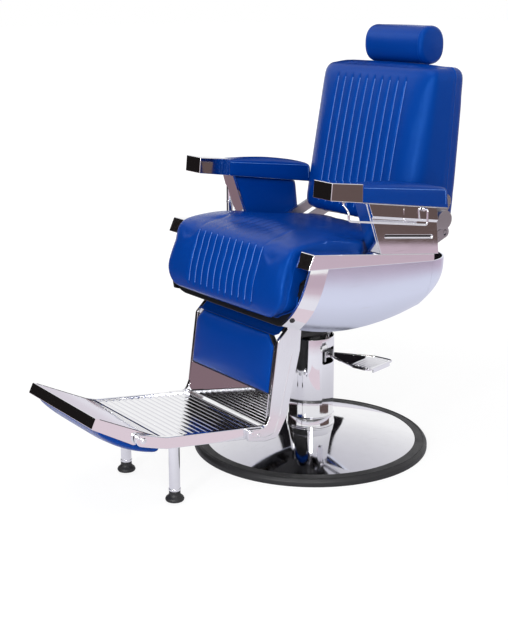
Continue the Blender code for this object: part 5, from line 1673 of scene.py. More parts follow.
@dataclass
class SeatCushion(Assembly):
    """Seat cushion that rolls over its front edge, with sewn channels down the drop."""

    hull: SeatHull
    half: float = 0.258
    rear_half: float = 0.2315
    step_y: float = -0.038
    step: float = 0.030
    rear: float = 0.235
    rear_top: float = 0.602
    front: float = -0.250
    front_top: float = 0.660
    nose: float = -0.314
    nose_z: float = 0.485
    hem: float = 0.457
    corner: float = 0.070
    apron: float = 0.007
    board_top: float = 0.555
    channels: int = 11
    pitch: float = 0.0285
    depth: float = 0.0045
    channel_top: float = 0.626
    channel_end: float = 0.484
    channel_rear: float = -0.118
    fade: float = 0.006
    flare: Pair = (0.590, 0.500)
    top_knots: tuple[float, ...] = (0.27, 0.55, 0.80)
    roll_knots: tuple[Pair, ...] = ((0.16, 0.12), (0.66, 0.45), (0.95, 0.80))
    nose_drop: float = 0.10
    hem_back: float = 0.30
    welt_start: float = 0.66
    welt_r: float = 0.0021

    def outer(self, share: float) -> Vector:
        """Outer face, from the rear end over the top and down the front.

        Args:
            share: Share along the pad.

        Returns:
            The (y, z) there.
        """
        rise = (self.front_top - self.rear_top) / (self.rear - self.front)
        knots = [(self.rear, self.rear_top)]
        for part in self.top_knots:
            y = self.rear + (self.front - self.rear) * part
            knots.append((y, self.rear_top + rise * (self.rear - y)))
        fall, lean = self.front_top - self.nose_z, self.front - self.nose
        knots += [(self.front - out * lean, self.front_top - down * fall) for out, down in self.roll_knots]
        knots.append((self.nose, self.nose_z - self.nose_drop * fall))
        knots.append((self.nose + self.hem_back * lean, self.hem))
        return curve_through(knots, share)

    def inner(self, share: float) -> Vector:
        """Inner face, on the seat board and the trim board.

        Args:
            share: Share along the pad.

        Returns:
            The (y, z) there.
        """
        low = self.board_top + SOFT_CLEAR
        behind = self.hull.trim_front(low)
        knots = [(self.rear, low)]
        knots += [(self.rear + (behind - self.rear) * part, low) for part in (0.27, 0.55, 0.78)]
        knots.append((behind + 0.006, low))
        for part in (0.30, 0.60, 0.85, 1.0):
            z = low + (self.hem - low) * part
            knots.append((self.hull.trim_front(z) - SOFT_CLEAR, z))
        return curve_through(knots, share)

    def half_width(self, share: float) -> float:
        """Half width: wide ahead of the arms, round at the low front and rear corners.

        Args:
            share: Share along the pad.

        Returns:
            The half width there.
        """
        spot = self.outer(share)
        wide = self.half + (self.rear_half - self.half) * ramp(spot.x, self.step_y, self.step_y + self.step)
        wide += self.apron * ramp(-spot.y, -self.flare[0], -self.flare[1])
        if spot.x < self.front:
            wide -= round_off(spot.y - self.hem, self.corner)
        return wide - round_off(self.rear - spot.x, self.corner)

    def shown(self, spot: Vector) -> float:
        """Where the channels are: on the front drop only.

        Args:
            spot: The (y, z) of a point.

        Returns:
            Share of the pull there.
        """
        if spot.x > self.channel_rear:
            return 0.0
        above = ramp(spot.y, self.channel_end - self.fade, self.channel_end + self.fade * 2 / 3)
        return above * (1 - ramp(spot.y, self.channel_top - self.fade, self.channel_top + self.fade))

    def build(self) -> Pad:
        """Make the cushion.

        Returns:
            The pad.
        """
        span = self.pitch * (self.channels - 1) / 2
        lines = [self.pitch * k - span for k in range(self.channels)]
        sewing = Sewing(lines, self.depth, self.shown)
        pad = Pad("seat_upholstery", "seat", ["seat_cushion"], self.inner, self.outer, self.half_width,
                  (22.0, 12.0), sewing=sewing, slack=0.003, side_slack=0.002, cap=0.010, power=3.0)
        pad.make(self.shop)
        return pad

    def sew(self, pad: Pad) -> None:
        """Stitch the channels, and lay the welt.

        Args:
            pad: The puffed pad.
        """
        needle = Needle(pad.object)
        for x in pad.sewing.lines:
            heights = np.linspace(self.channel_top, self.channel_end, 60)
            needle.row([Vector((x, AHEAD, z)) for z in heights], Vector((0, 1, 0)))
        needle.finish(self.shop, "seat_stitches", "seat")
        self.welt()

    def welt(self) -> None:
        """Cord in the seam between the front drop and the trim board."""
        side = []
        for share in np.linspace(self.welt_start, 1.0, 44):
            spot = self.inner(share)
            side.append((self.half_width(share) + 0.0012, spot.x - 0.0022, spot.y - 0.0012))
        path = side + [(-x, y, z) for x, y, z in reversed(side)]
        self.shop.piece("seat_welt", wire(path, self.welt_r, 8), BLUE_CORD, "seat", sharp=60.0)


@dataclass
class Arm(Assembly):
    """One arm: upholstered core, chrome side panel, pad, nose cap and strips."""

    side: Side
    hull: SeatHull
    middle: float = 0.2855
    width: float = 0.071
    front: float = -0.203
    cap_end: float = -0.100
    rear: float = 0.197
    top: Pair = (0.803, 0.113)
    under: Pair = (0.759, 0.147)
    panel_front: Pair = (-0.078, -0.030)
    panel_rear: Pair = (0.158, 0.172)
    panel_t: float = 0.006
    flare: float = 0.006
    crease: float = 0.036
    core_steps: int = 18
    core_power: float = 10.0
    core_in: float = 0.003
    core_gap: float = 0.0006
    flares: tuple[float, ...] = (0.0, 0.0, 0.9, 0.55)
    louvre: float = 0.010
    louvre_rise: float = 0.046
    louvre_in: float = 0.014
    louvre_floor: float = 0.0035
    slat_r: float = 0.0020
    slat_sink: float = 0.0012
    slat_drop: float = 0.28
    shade: Pair = (0.1, 0.25)
    shade_t: Pair = (-0.0004, 0.0003)
    crease_half: float = 0.003
    nose_lean: float = 0.004
    plate_gap: float = 0.0015
    plate_proud: float = 0.0016
    plate_t: float = 0.006
    strip_in: float = 0.002
    strip_sink: float = 0.0004
    strip_t: float = 0.0022
    stitch_in: float = 0.010

    def arm_top(self, y: float) -> float:
        """Height of the arm's upper face."""
        return self.top[0] - self.top[1] * (y - self.front)

    def arm_low(self, y: float) -> float:
        """Height of the arm's lower face."""
        return self.under[0] - self.under[1] * (y - self.front)

    def outline(self, lift: float) -> Outline:
        """Side view of the upright, clear of the rail and the pad."""
        low = [(y, self.hull.rail_top(y) + lift) for y in (self.panel_front[1], self.panel_rear[1])]
        return low + [(y, self.arm_low(y) - lift) for y in (self.panel_rear[0], self.panel_front[0])]

    def build(self) -> list[Pad]:
        """Make the arm's pieces.

        Returns:
            The pads that are to be puffed up.
        """
        tag = self.side.tag
        pads = [self.pad(), self.core()]
        nose = [(self.front, self.arm_low(self.front)), (self.cap_end, self.arm_low(self.cap_end))]
        nose += [(self.cap_end, self.arm_top(self.cap_end)),
                 (self.front + self.nose_lean, self.arm_top(self.front))]
        half = self.width / 2
        reach = self.side.span(self.middle - half, self.middle + half)
        self.shop.piece("arm_nose_" + tag, prism(nose, *reach, Axis.X), CHROME, "seat", ["arm_cap_" + tag],
                        Edge.EASED)
        self.panel()
        top, low = self.panel_front
        foot, head = self.hull.rail_top(low) + self.plate_gap, self.arm_low(top) - self.plate_gap
        ahead, behind = -self.plate_proud, self.plate_t
        strip = [(low + ahead, foot), (low + behind, foot), (top + behind, head), (top + ahead, head)]
        inner = self.hull.rail_x - self.hull.rail_width
        reach = self.side.span(inner + 0.001, self.hull.rail_x - self.panel_t - HAIR)
        self.shop.piece("arm_front_plate_" + tag, prism(strip, *reach, Axis.X), CHROME, "seat",
                        edge=Edge.CRISP)
        ends = self.cap_end + self.strip_in, self.rear - 2 * self.strip_in
        tray = [(y, self.arm_low(y) - self.strip_sink) for y in ends]
        plate = tray + [(y, z + self.strip_t) for y, z in reversed(tray)]
        half -= self.strip_in
        reach = self.side.span(self.middle - half, self.middle + half)
        self.shop.piece("arm_under_strip_" + tag, prism(plate, *reach, Axis.X), CHROME, "seat",
                        edge=Edge.CRISP)
        return pads

    def pad(self) -> Pad:
        """Arm pad behind the nose cap.

        Returns:
            The pad.
        """
        start, run = self.cap_end + HAIR, self.rear - self.cap_end - HAIR

        def low(share: float) -> Vector:
            """Lower face."""
            y = start + run * share
            return Vector((y, self.arm_low(y) + self.strip_in))

        def high(share: float) -> Vector:
            """Upper face."""
            y = start + run * share
            return Vector((y, self.arm_top(y)))

        pad = Pad("arm_upholstery_" + self.side.tag, "seat", ["arm_pad_" + self.side.tag], low, high,
                  lambda share: self.width / 2, (9.0, 16.0), 0.008, self.side.value * self.middle, 0.006,
                  slack=0.003, side_slack=0.0012, cap=0.006)
        pad.make(self.shop)
        return pad

    def core(self) -> Pad:
        """Upholstered upright inside the chrome panel.

        Returns:
            The pad.
        """
        face = self.hull.rail_x - self.panel_t - HAIR
        inner = self.hull.rail_x - self.hull.rail_width + self.core_in
        flats: list[list[Spot]] = []
        fulls: list[list[Spot]] = []
        low_front, low_rear, top_rear, top_front = [Vector(c) for c in self.outline(self.core_gap)]
        places = np.sin(np.linspace(-math.pi / 2, math.pi / 2, self.core_steps + 1))
        for v in places:
            flats.append([])
            fulls.append([])
            for u in places:
                bottom = low_front.lerp(low_rear, (u + 1) / 2)
                upper = top_front.lerp(top_rear, (u + 1) / 2)
                spot = bottom.lerp(upper, (v + 1) / 2)
                full = drawn_in(u, self.core_power) * drawn_in(v, self.core_power)
                flats[-1].append((self.side.value * face, spot.x, spot.y))
                fulls[-1].append((self.side.value * (face + (inner - face) * full), spot.x, spot.y))
        shape, skins = two_skins(flats, fulls)
        held = [vert.index for row in skins[0] for vert in row]
        pad = Pad("arm_upright_" + self.side.tag, "seat", ["arm_core_" + self.side.tag], side_slack=0.0028,
                  cap=0.003, power=3.0, held=held, fill=0.9)
        pad.cover(self.shop, shape)
        return pad

    def panel(self) -> None:
        """Chrome side panel: creased below its flared top, with a louvre across it and a black sheet in the
        louvre as painted shade.
        """
        low_front, low_rear, top_rear, top_front = [Vector(c) for c in self.outline(HAIR)]
        rows = []
        for drop in (None, self.crease + self.crease_half, self.crease - self.crease_half, 0.0):
            spots = []
            for low, top in ((low_front, top_front), (low_rear, top_rear)):
                level = 0.0 if drop is None else 1 - drop / (top.y - low.y)
                spots.append(low.lerp(top, level))
            rows.append(spots)
        outer, inner = [], []
        face = self.hull.rail_x
        for spots, share in zip(rows, self.flares):
            outer.append([(self.side.value * (face + self.flare * share), s.x, s.y) for s in spots])
            inner.append([(self.side.value * (face - self.panel_t), s.x, s.y) for s in spots])
        panel = self.shop.piece("arm_plate_" + self.side.tag, shell(outer, inner), CHROME, "seat",
                                ["arm_panel_" + self.side.tag], Edge.CRISP, 12.0)
        start, end = self.panel_front[1] + self.louvre_in, self.panel_rear[0] - self.louvre_in
        line = [(y, self.hull.rail_top(y) + self.louvre_rise) for y in (start, end)]
        floor = face - self.louvre_floor
        depth = self.side.span(floor, face + 2 * self.flare)
        self.shop.cut(panel, prism(stadium(*line, self.louvre / 2), *depth, Axis.X))
        lower = [(y, z - self.louvre * self.slat_drop) for y, z in line]
        fin = wire([(self.side.value * (face - self.slat_sink), y, z) for y, z in lower], self.slat_r, 10)
        # Painted shade: a black sheet on the louvre's floor, under its upper edge
        upper = [(y, z + self.louvre * self.shade[0]) for y, z in line]
        depth = self.side.span(floor + self.shade_t[0], floor + self.shade_t[1])
        dark = prism(stadium(*upper, self.louvre * self.shade[1]), *depth, Axis.X)
        self.shop.piece("louvre_slat_" + self.side.tag, fin, CHROME, "seat")
        self.shop.piece("louvre_shade_" + self.side.tag, dark, BLACK, "seat", edge=Edge.CRISP)

    def sew(self, pad: Pad) -> None:
        """Stitch both sides of the pad, below its top and down its rear end.

        Args:
            pad: The puffed pad.
        """
        needle = Needle(pad.object)
        for sign in (1, -1):
            way = Vector((-sign, 0, 0))
            far = self.side.value * self.middle + sign * 0.2
            y = self.rear - self.stitch_in
            ys = np.linspace(self.cap_end + 0.006, y, 50)
            needle.row([Vector((far, place, self.arm_top(place) - self.stitch_in)) for place in ys], way)
            zs = np.linspace(self.arm_top(y) - 0.012, self.arm_low(y) + 0.006, 20)
            needle.row([Vector((far, y, z)) for z in zs], way)
        needle.finish(self.shop, "arm_stitches_" + self.side.tag, "seat")


@dataclass
class TowelRail(Assembly):
    """Bent chrome wire under the left arm, with its hook and seats."""

    arm: Arm
    radius: float = 0.0027
    x: float = 0.335
    front: float = -0.158
    rear: float = 0.108
    drop: float = 0.045
    bend: float = 0.009
    knee: float = 0.008
    root_in: float = 0.004
    flange: Pair = (2.4, 0.0015)
    seat: Pair = (2.2, 0.002)
    rim: float = 0.0006
    facets: int = 24
    hook_y: float = 0.040
    hook_r: float = 0.0017
    hook_bend: float = 0.004
    hook_path: tuple[Pair, ...] = ((0.0, HAIR), (0.004, 0.010), (0.004, 0.034), (0.010, 0.040),
                                   (0.015, 0.034))

    def build(self) -> None:
        """Make the rail with rounded bends."""
        top = self.arm.arm_low(self.front + self.radius) - HAIR
        root = self.arm.middle + self.arm.width / 2 - self.root_in - self.radius
        rear_low = self.arm.arm_low(self.rear) - self.drop
        rear_top = self.arm.arm_low(self.rear) - 2 * self.radius
        hook = self.arm.hull.rail_x + self.arm.flare + HAIR
        drops = [(root, 0.0), (root, self.knee), (self.x, self.drop / 2), (self.x, self.drop)]
        corners = [(x, self.front, top - drop) for x, drop in drops]
        corners += [(self.x, self.rear, rear_low), (self.x, self.rear, rear_top),
                    (hook, self.rear, rear_top)]
        path = self.rounded([Vector(c) for c in corners], self.bend)
        wide, thick = self.flange
        start = (root, self.front, top - thick)
        flange = bar(start, corners[0], self.radius * wide, self.facets, self.rim)
        wide, thick = self.seat
        end = (hook + thick, self.rear, rear_top)
        seat = bar(corners[-1], end, self.radius * wide, self.facets, self.rim)
        self.shop.piece("towel_wire", merge(wire(path, self.radius, 16), flange, seat), CHROME, "seat",
                        ["towel_rail"])
        z = self.arm.arm_low(self.hook_y)
        hanger = [Vector((root + out, self.hook_y, z - down)) for out, down in self.hook_path]
        self.shop.piece("small_hook", wire(self.rounded(hanger, self.hook_bend), self.hook_r), CHROME,
                        "seat")

    def rounded(self, corners: Sequence[Vector], bend: float) -> list[Vector]:
        """Round the corners of a path.

        Args:
            corners: The sharp path.
            bend: Length that each bend takes on either side.

        Returns:
            Points of the rounded path.
        """
        path = [corners[0]]
        for before, here, after in zip(corners, corners[1:], corners[2:]):
            a, b = before - here, after - here
            run = min(bend, a.length * 0.45, b.length * 0.45)
            start, end = here + a.normalized() * run, here + b.normalized() * run
            for t in np.linspace(0, 1, 9):
                path.append(start.lerp(here, t).lerp(here.lerp(end, t), t))
        return path + [corners[-1]]


@dataclass
class BackRest(Assembly):
    """Channelled back cushion sewn to an upholstered rear shell."""

    half: float = 0.2325
    low: float = 0.632
    high: float = 1.057
    front_low: float = 0.122
    front_tilt: float = math.radians(11.3)
    rear_low: float = 0.322
    rear_tilt: float = math.radians(4.3)
    shell_t: float = 0.050
    corner: float = 0.030
    channels: int = 10
    pitch: float = 0.031
    inset: float = 0.034
    depth: float = 0.0045
    fade: float = 0.004
    welt_in: float = 0.0032
    welt_r: float = 0.0030
    welt_end: float = 0.008
    knob_drop: float = 0.075
    knob_seat: Pair = (0.026, 0.003)
    button: Pair = (0.011, 0.0035)
    button_drop: float = 0.060
    knob_gap: float = 0.004
    button_gap: float = 0.0045
    knob_r: float = 0.019
    knob_foot: float = 0.013
    knob_face: float = 0.014
    knob_rounds: tuple[float, ...] = (0, 0, 0, 0.001, 0.002, 0.003, 0.002, 0)
    stem_r: float = 0.005
    flutes: int = 12
    flute: float = 0.045

    def rear(self, z: float) -> float:
        """Depth of the rear face."""
        return self.rear_low + math.tan(self.rear_tilt) * (z - self.low)

    def seam(self, z: float) -> float:
        """Depth of the seam between cushion and shell."""
        return self.rear(z) - self.shell_t

    def height(self, share: float) -> float:
        """Height at a share of the back."""
        return self.low + (self.high - self.low) * share

    def half_width(self, share: float) -> float:
        """Half width, round at the four corners."""
        return self.half - round_off(min(share, 1 - share) * (self.high - self.low), self.corner)

    def seam_point(self, share: float, offset: float) -> Vector:
        """A point of the seam plane, moved forward or back."""
        z = self.height(share)
        return Vector((self.seam(z) + offset, z))

    def front(self, share: float) -> Vector:
        """Front face."""
        z = self.height(share)
        return Vector((self.front_low + math.tan(self.front_tilt) * (z - self.low), z))

    def back(self, share: float) -> Vector:
        """Rear face."""
        z = self.height(share)
        return Vector((self.rear(z), z))

    def shown(self, spot: Vector) -> float:
        """Where the channels are: short of the top and the bottom.

        Args:
            spot: A place on the pad, seen from the front.

        Returns:
            1 where they are full, 0 where there are none.
        """
        low, high = self.low + self.inset, self.high - self.inset
        return ramp(spot.y, low - 2 * self.fade, low + self.fade) * (
            1 - ramp(spot.y, high - self.fade, high + 2 * self.fade))

    def build(self) -> list[Pad]:
        """Make the back's pieces.

        Returns:
            The pads that are to be puffed up.
        """
        span = self.pitch * (self.channels - 1) / 2
        sewing = Sewing([self.pitch * k - span for k in range(self.channels)], self.depth, self.shown)
        cushion = Pad("back_upholstery", "back", ["back_cushion"],
                      lambda s: self.seam_point(s, -SOFT_CLEAR), self.front, self.half_width, (7.0, 12.0),
                      crown=0.006, sewing=sewing, slack=0.005, side_slack=0.001, cap=0.009)
        cushion.make(self.shop)
        rear = Pad("back_rear_upholstery", "back", ["back_shell"], lambda s: self.seam_point(s, 0.0),
                   self.back, self.half_width, crown=0.004, step=0.009, slack=0.004, side_slack=0.001,
                   cap=0.006, fill=0.9)
        rear.make(self.shop)
        self.welt()
        self.fittings()
        return [cushion, rear]

    def welt(self) -> None:
        """Cord sewn into the seam all round the back."""
        corner = np.linspace(self.welt_end, 0.07, 9)
        shares = np.concatenate([corner, np.linspace(0.09, 0.91, 40), 1 - corner[::-1]])
        loop = [(self.half_width(share) - self.welt_in, self.height(share)) for share in shares]
        turn = self.half_width(self.welt_end) - 0.006
        loop += [(x, self.high - self.welt_in) for x in np.linspace(turn, 0, 12)]
        path = loop + [(-x, z) for x, z in reversed(loop[:-1])]
        path += [(x, self.low + self.welt_in) for x in np.linspace(-turn, turn, 24)]
        cord = wire([(x, self.seam(z) - 0.0004, z) for x, z in path], self.welt_r, 10, True)
        self.shop.piece("back_welt", cord, BLUE_CORD, "back", sharp=70.0)

    def fittings(self) -> None:
        """Seat of the headrest's knob with a button below it, and the knob."""
        z = self.high - self.knob_drop
        y = self.rear(z) + self.knob_gap
        below = z - self.button_drop
        plate = self.disc(self.knob_seat, 40, (0.0, y, z))
        button = self.disc(self.button, 32, (0.0, self.rear(below) + self.button_gap, below))
        self.shop.piece("knob_seat", merge(plate, button), BLACK, "back")
        low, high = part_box("headrest_knob")
        stem, seat, end = low.y, y + self.knob_gap, high.y
        profile = [(0.0, stem), (self.stem_r, stem), (self.stem_r, seat), (self.knob_foot, seat)]
        profile += [(self.knob_r, seat + 0.004), (self.knob_r, end - 0.005)]
        profile += [(self.knob_face, end), (0.0, end - 0.0015)]
        knob = turned(fillet(profile, self.knob_rounds, 4), 60, Axis.Y, (0.0, 0.0, z))
        for vert in knob.verts:
            out = Vector((vert.co.x, vert.co.z - z))
            if out.length > 0.016 and seat + 0.003 < vert.co.y < end - 0.002:
                turn = math.atan2(out.y, out.x)
                out *= 1 - self.flute * (0.5 + 0.5 * math.cos(self.flutes * turn))
                vert.co.x, vert.co.z = out.x, z + out.y
        self.shop.piece("clamp_knob", knob, BLACK, "headrest_knob", ["headrest_knob"], sharp=50.0)

    def disc(self, size: Pair, facets: int, centre: Spot) -> bmesh.types.BMesh:
        """A round disc with eased rims on the rear face.

        Args:
            size: Its radius and thickness.
            facets: Steps round it.
            centre: Middle of its front face.

        Returns:
            The closed shape.
        """
        radius, thick = size
        profile = [(0.0, 0.0), (radius, 0.0), (radius, thick), (0.0, thick)]
        return turned(fillet(profile, [0, 0.0015, 0.0015, 0], 4), facets, Axis.Y, centre)

    def sew(self, cushion: Pad) -> None:
        """Stitch the channels.

        Args:
            cushion: The puffed cushion.
        """
        needle = Needle(cushion.object)
        for x in cushion.sewing.lines:
            zs = np.linspace(self.low + self.inset, self.high - self.inset, 90)
            needle.row([Vector((x, AHEAD, z)) for z in zs], Vector((0, 1, 0)))
        needle.finish(self.shop, "back_stitches", "back")


@dataclass
class HeadRest(Assembly):
    """Headrest roll on its flat post."""

    half: float = 0.117
    depth: float = 0.098
    height: float = 0.109
    edge: float = 0.013
    lift: float = -0.0004
    slack: float = 0.002
    square: float = 0.84
    sides: int = 56
    stations: tuple[float, ...] = (0.0, 0.14, 0.28, 0.42, 0.56, 0.70, 0.80, 0.86)
    barrel: float = 0.012
    end_rings: tuple[Pair, ...] = ((-0.0008, 0.52), (-0.0002, 0.36), (0.0004, 0.2))
    tip: float = 0.0006
    cord_in: float = 0.0135
    cord_r: float = 0.0010

    def middle(self) -> Vector:
        """Middle of the roll."""
        low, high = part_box("headrest_pad")
        return (low + high) / 2 + Vector((0.0, 0.0, self.lift))

    def build(self) -> Pad:
        """Make the roll, with drawn-in ends behind a seam.

        Returns:
            The pad.
        """
        middle = self.middle()
        rings = [(self.half * u, 1.0 + self.barrel * (1 - u * u)) for u in self.stations]
        for angle in np.linspace(0.15, math.pi / 2 - 0.12, 8):
            rings.append((self.half - self.edge + self.edge * math.sin(angle),
                          1 - self.edge * (1 - math.cos(angle)) / (self.depth / 2)))
        rings += [(self.half + out, full) for out, full in self.end_rings]
        line = [(-x, r) for x, r in reversed(rings[1:])] + rings
        shape = bmesh.new()
        loops = []
        for x, full in line:
            loop = []
            for k in range(self.sides):
                angle = 2 * math.pi * k / self.sides
                c, s = math.cos(angle), math.sin(angle)
                y = math.copysign(abs(c) ** self.square, c) * (self.depth / 2 - self.slack) * full
                z = math.copysign(abs(s) ** self.square, s) * (self.height / 2 - self.slack) * full
                loop.append(shape.verts.new((x, middle.y + y, middle.z + z)))
            loops.append(loop)
        for first, second in zip(loops, loops[1:]):
            hoop(shape, first, second)
        for loop, sign in ((loops[0], -1), (loops[-1], 1)):
            tip = shape.verts.new((sign * (self.half + self.tip), middle.y, middle.z))
            for k in range(self.sides):
                shape.faces.new((loop[k], loop[(k + 1) % self.sides], tip))
        shape.verts.index_update()
        seams = [loops[i] for i, (x, _) in enumerate(line) if abs(abs(x) - (self.half - self.edge)) < 0.004]
        held = [vert.index for loop in seams[:1] + seams[-1:] for vert in loop]
        pad = Pad("headrest_roll", "headrest", ["headrest_pad"], side_slack=0.002, cap=0.004, power=3.0,
                  held=held, fill=0.95)
        pad.cover(self.shop, shape)
        self.shop.refinish(CHROME, "headrest_post")
        return pad

    def sew(self, pad: Pad) -> None:
        """Cord round both ends of the roll.

        Args:
            pad: The puffed pad.
        """
        middle = self.middle()
        bpy.context.view_layer.update()
        tree = BVHTree.FromObject(pad.object, bpy.context.evaluated_depsgraph_get())
        cords = []
        for sign in (1, -1):
            loop = []
            x = sign * (self.half - self.cord_in)
            for angle in np.linspace(0, 2 * math.pi, 64, False):
                way = Vector((0, -math.cos(angle), -math.sin(angle)))
                start = Vector((x, middle.y, middle.z)) - way * 0.12
                hit, _, _, _ = tree.ray_cast(start, way)
                if hit is not None:
                    loop.append(hit + way * 0.0006)
            cords.append(wire(loop, self.cord_r, 8, True))
        self.shop.piece("headrest_cords", merge(*cords), BLUE_CORD, "headrest", sharp=70.0)


@dataclass
class LegRest(Assembly):
    """Cast side arms, calf pad over a kick plate, and the ribbed platform on its two feet."""

    arm_x: float = 0.178
    arm_t: float = 0.012
    pivot: Pair = (-0.210, 0.490)
    boss: float = 0.020
    crank: Pair = (-0.19584, 0.43170)
    calf_top: Pair = (-0.257, 0.398)
    calf_low: Pair = (-0.289, 0.166)
    cut: float = 0.026
    pad_t: float = 0.014
    pad_inset: float = 0.0016
    kick_top: float = 0.246
    kick_t: float = 0.004
    deck_half: float = 0.166
    deck_rear: Pair = (-0.274, 0.1575)
    deck_front: Pair = (-0.590, 0.1955)
    deck_t: float = 0.010
    ribs: int = 15
    rib_h: float = 0.0008
    plain: float = 0.026
    rail_h: float = 0.030
    rail_proud: float = 0.004
    flip_pivot: Pair = (-0.655, 0.206)
    ear: float = 0.020
    tube: Spot = (0.120, -0.533, 0.014)
    foot: float = 0.0245
    floor: float = 0.003
    drum: float = 0.0735
    drum_arc: Pair = (14.0, -8.0)
    apron_start: Pair = (-0.0042, 0.0010)
    apron_bend: tuple[Pair, ...] = ((-0.2465, 0.4003), (-0.2375, 0.4085))
    apron_in: float = 0.004
    apron_t: Pair = (0.0006, 0.0014)
    cord_r: float = 0.0016
    proud: float = 0.002
    toe: float = -0.354
    instep: float = -0.300
    heel: float = -0.262
    border: tuple[Pair, ...] = ((-0.216, 0.345), (-0.2545, 0.190), (-0.272, 0.1445), (-0.300, 0.1395),
                                (-0.3415, 0.1455))
    border_r: float = 0.0011
    shin: tuple[float, ...] = (0.385, 0.190)
    calf_rear: tuple[Pair, ...] = ((-0.232, 0.180), (-0.190, 0.350))
    arm_rounds: tuple[float, ...] = (0.009, 0.009, 0.0045, 0.018, 0.0045, 0.0045, 0.018, 0.018, 0.018, 0.0,
                                     0.0045, 0.0045, 0.0, 0.0)
    toe_bolts: tuple[tuple[Pair, Pair], ...] = (((-0.3445, 0.1590), (0.0052, 0.0042)),
                                                ((-0.3210, 0.1480), (0.0040, 0.0034)))
    pivot_bolts: tuple[tuple[Pair, Pair], ...] = (((0.0, 0.0), (0.0062, 0.0045)),
                                                  ((-0.0125, 0.009), (0.0036, 0.0030)))
    crest: tuple[Pair, ...] = ((0.0, 0.0), (0.02, 0.10), (0.07, 0.90), (0.09, 1.0), (0.38, 1.0),
                               (0.40, 0.90), (0.45, 0.10), (0.47, 0.0))
    foot_rounds: tuple[float, ...] = (0, 0.0015, 0.003, 0.003, 0.004, 0.004, 0.0015, 0)
    crank_pin: float = 0.005
    crank_end: float = 0.250
    ring: Pair = (0.0016, 0.005)
    tube_foot: float = 0.0263

    def calf_front(self, z: float) -> float:
        """Depth of the calf panel's face."""
        slope = (self.calf_top[0] - self.calf_low[0]) / (self.calf_top[1] - self.calf_low[1])
        return self.calf_top[0] + slope * (z - self.calf_top[1])

    def deck(self, y: float) -> float:
        """Height of the platform's upper face."""
        slope = (self.deck_front[1] - self.deck_rear[1]) / (self.deck_front[0] - self.deck_rear[0])
        return self.deck_rear[1] + slope * (y - self.deck_rear[0])

    def lean(self, shape: bmesh.types.BMesh, offset: float) -> bmesh.types.BMesh:
        """Lean an upright panel made at y = 0 to the calf's slope.

        Args:
            shape: The panel.
            offset: How far behind the calf's face it lies.

        Returns:
            The leaning panel.
        """
        for vert in shape.verts:
            vert.co.y += self.calf_front(vert.co.z) + offset
        return shape

    def build(self) -> Pad:
        """Make the leg rest's pieces.

        Returns:
            The calf pad.
        """
        for side in Side:
            self.side_arm(side)
            self.rail(side)
            self.leg(side)
        wide = self.arm_x - HAIR
        low, high = self.calf_low[1], self.kick_top
        plate = prism([(-wide, low), (wide, low), (wide, high), (-wide, high)], -self.kick_t, 0.0, Axis.Y)
        plate = self.lean(plate, -HAIR)
        self.shop.piece("kick_mirror", plate, CHROME, "leg_rest", ["kick_plate"], Edge.CRISP)
        self.platform()
        self.shop.refinish(BLACK, "calf_frame")
        self.apron()
        return self.calf()

    def apron(self) -> None:
        """Vinyl sheet from the calf panel's top round the pivot, which closes the view under the seat."""
        line = [Vector(self.calf_top) + Vector(self.apron_start), *map(Vector, self.apron_bend)]
        for angle in np.radians(np.linspace(*self.drum_arc, 8)):
            line.append(Vector(self.pivot) + self.drum * Vector((-math.sin(angle), -math.cos(angle))))
        half = self.arm_x - self.apron_in
        across = np.linspace(-half, half, 9)
        outer = [[(x, spot.x, spot.y) for x in across] for spot in line]
        inner = [[(x, y + self.apron_t[0], z + self.apron_t[1]) for x, y, z in row] for row in outer]
        self.shop.piece("calf_apron", shell(outer, inner), BLUE, "leg_rest", sharp=50.0)

    def calf(self) -> Pad:
        """Calf pad with its upper corners cut off, edged with a black cord.

        Returns:
            The pad.
        """
        low, high = self.kick_top + self.pad_inset, self.calf_top[1] - self.pad_inset
        half = self.arm_x - HAIR - self.pad_inset

        def point(share: float, offset: float) -> Vector:
            """A point of the panel's face, moved forward."""
            z = low + (high - low) * share
            return Vector((self.calf_front(z) - offset, z))

        def width(share: float) -> float:
            """Half width, less at the cut corners."""
            return half - max(0.0, low + (high - low) * share - (high - self.cut))

        pad = Pad("calf_upholstery", "leg_rest", ["calf_pad"], lambda s: point(s, SOFT_CLEAR),
                  lambda s: point(s, self.pad_t), width, (6.0, 6.0), 0.004, slack=0.003, side_slack=0.001,
                  cap=0.006)
        pad.make(self.shop)
        cord = [(width(share), low + (high - low) * share) for share in np.linspace(0, 1, 30)]
        path = [(-x, z) for x, z in reversed(cord)] + cord
        run = [(x, self.calf_front(z) - self.cord_r, z) for x, z in path]
        self.shop.piece("calf_edging", wire(run, self.cord_r, 8), BLACK, "leg_rest", sharp=60.0)
        return pad

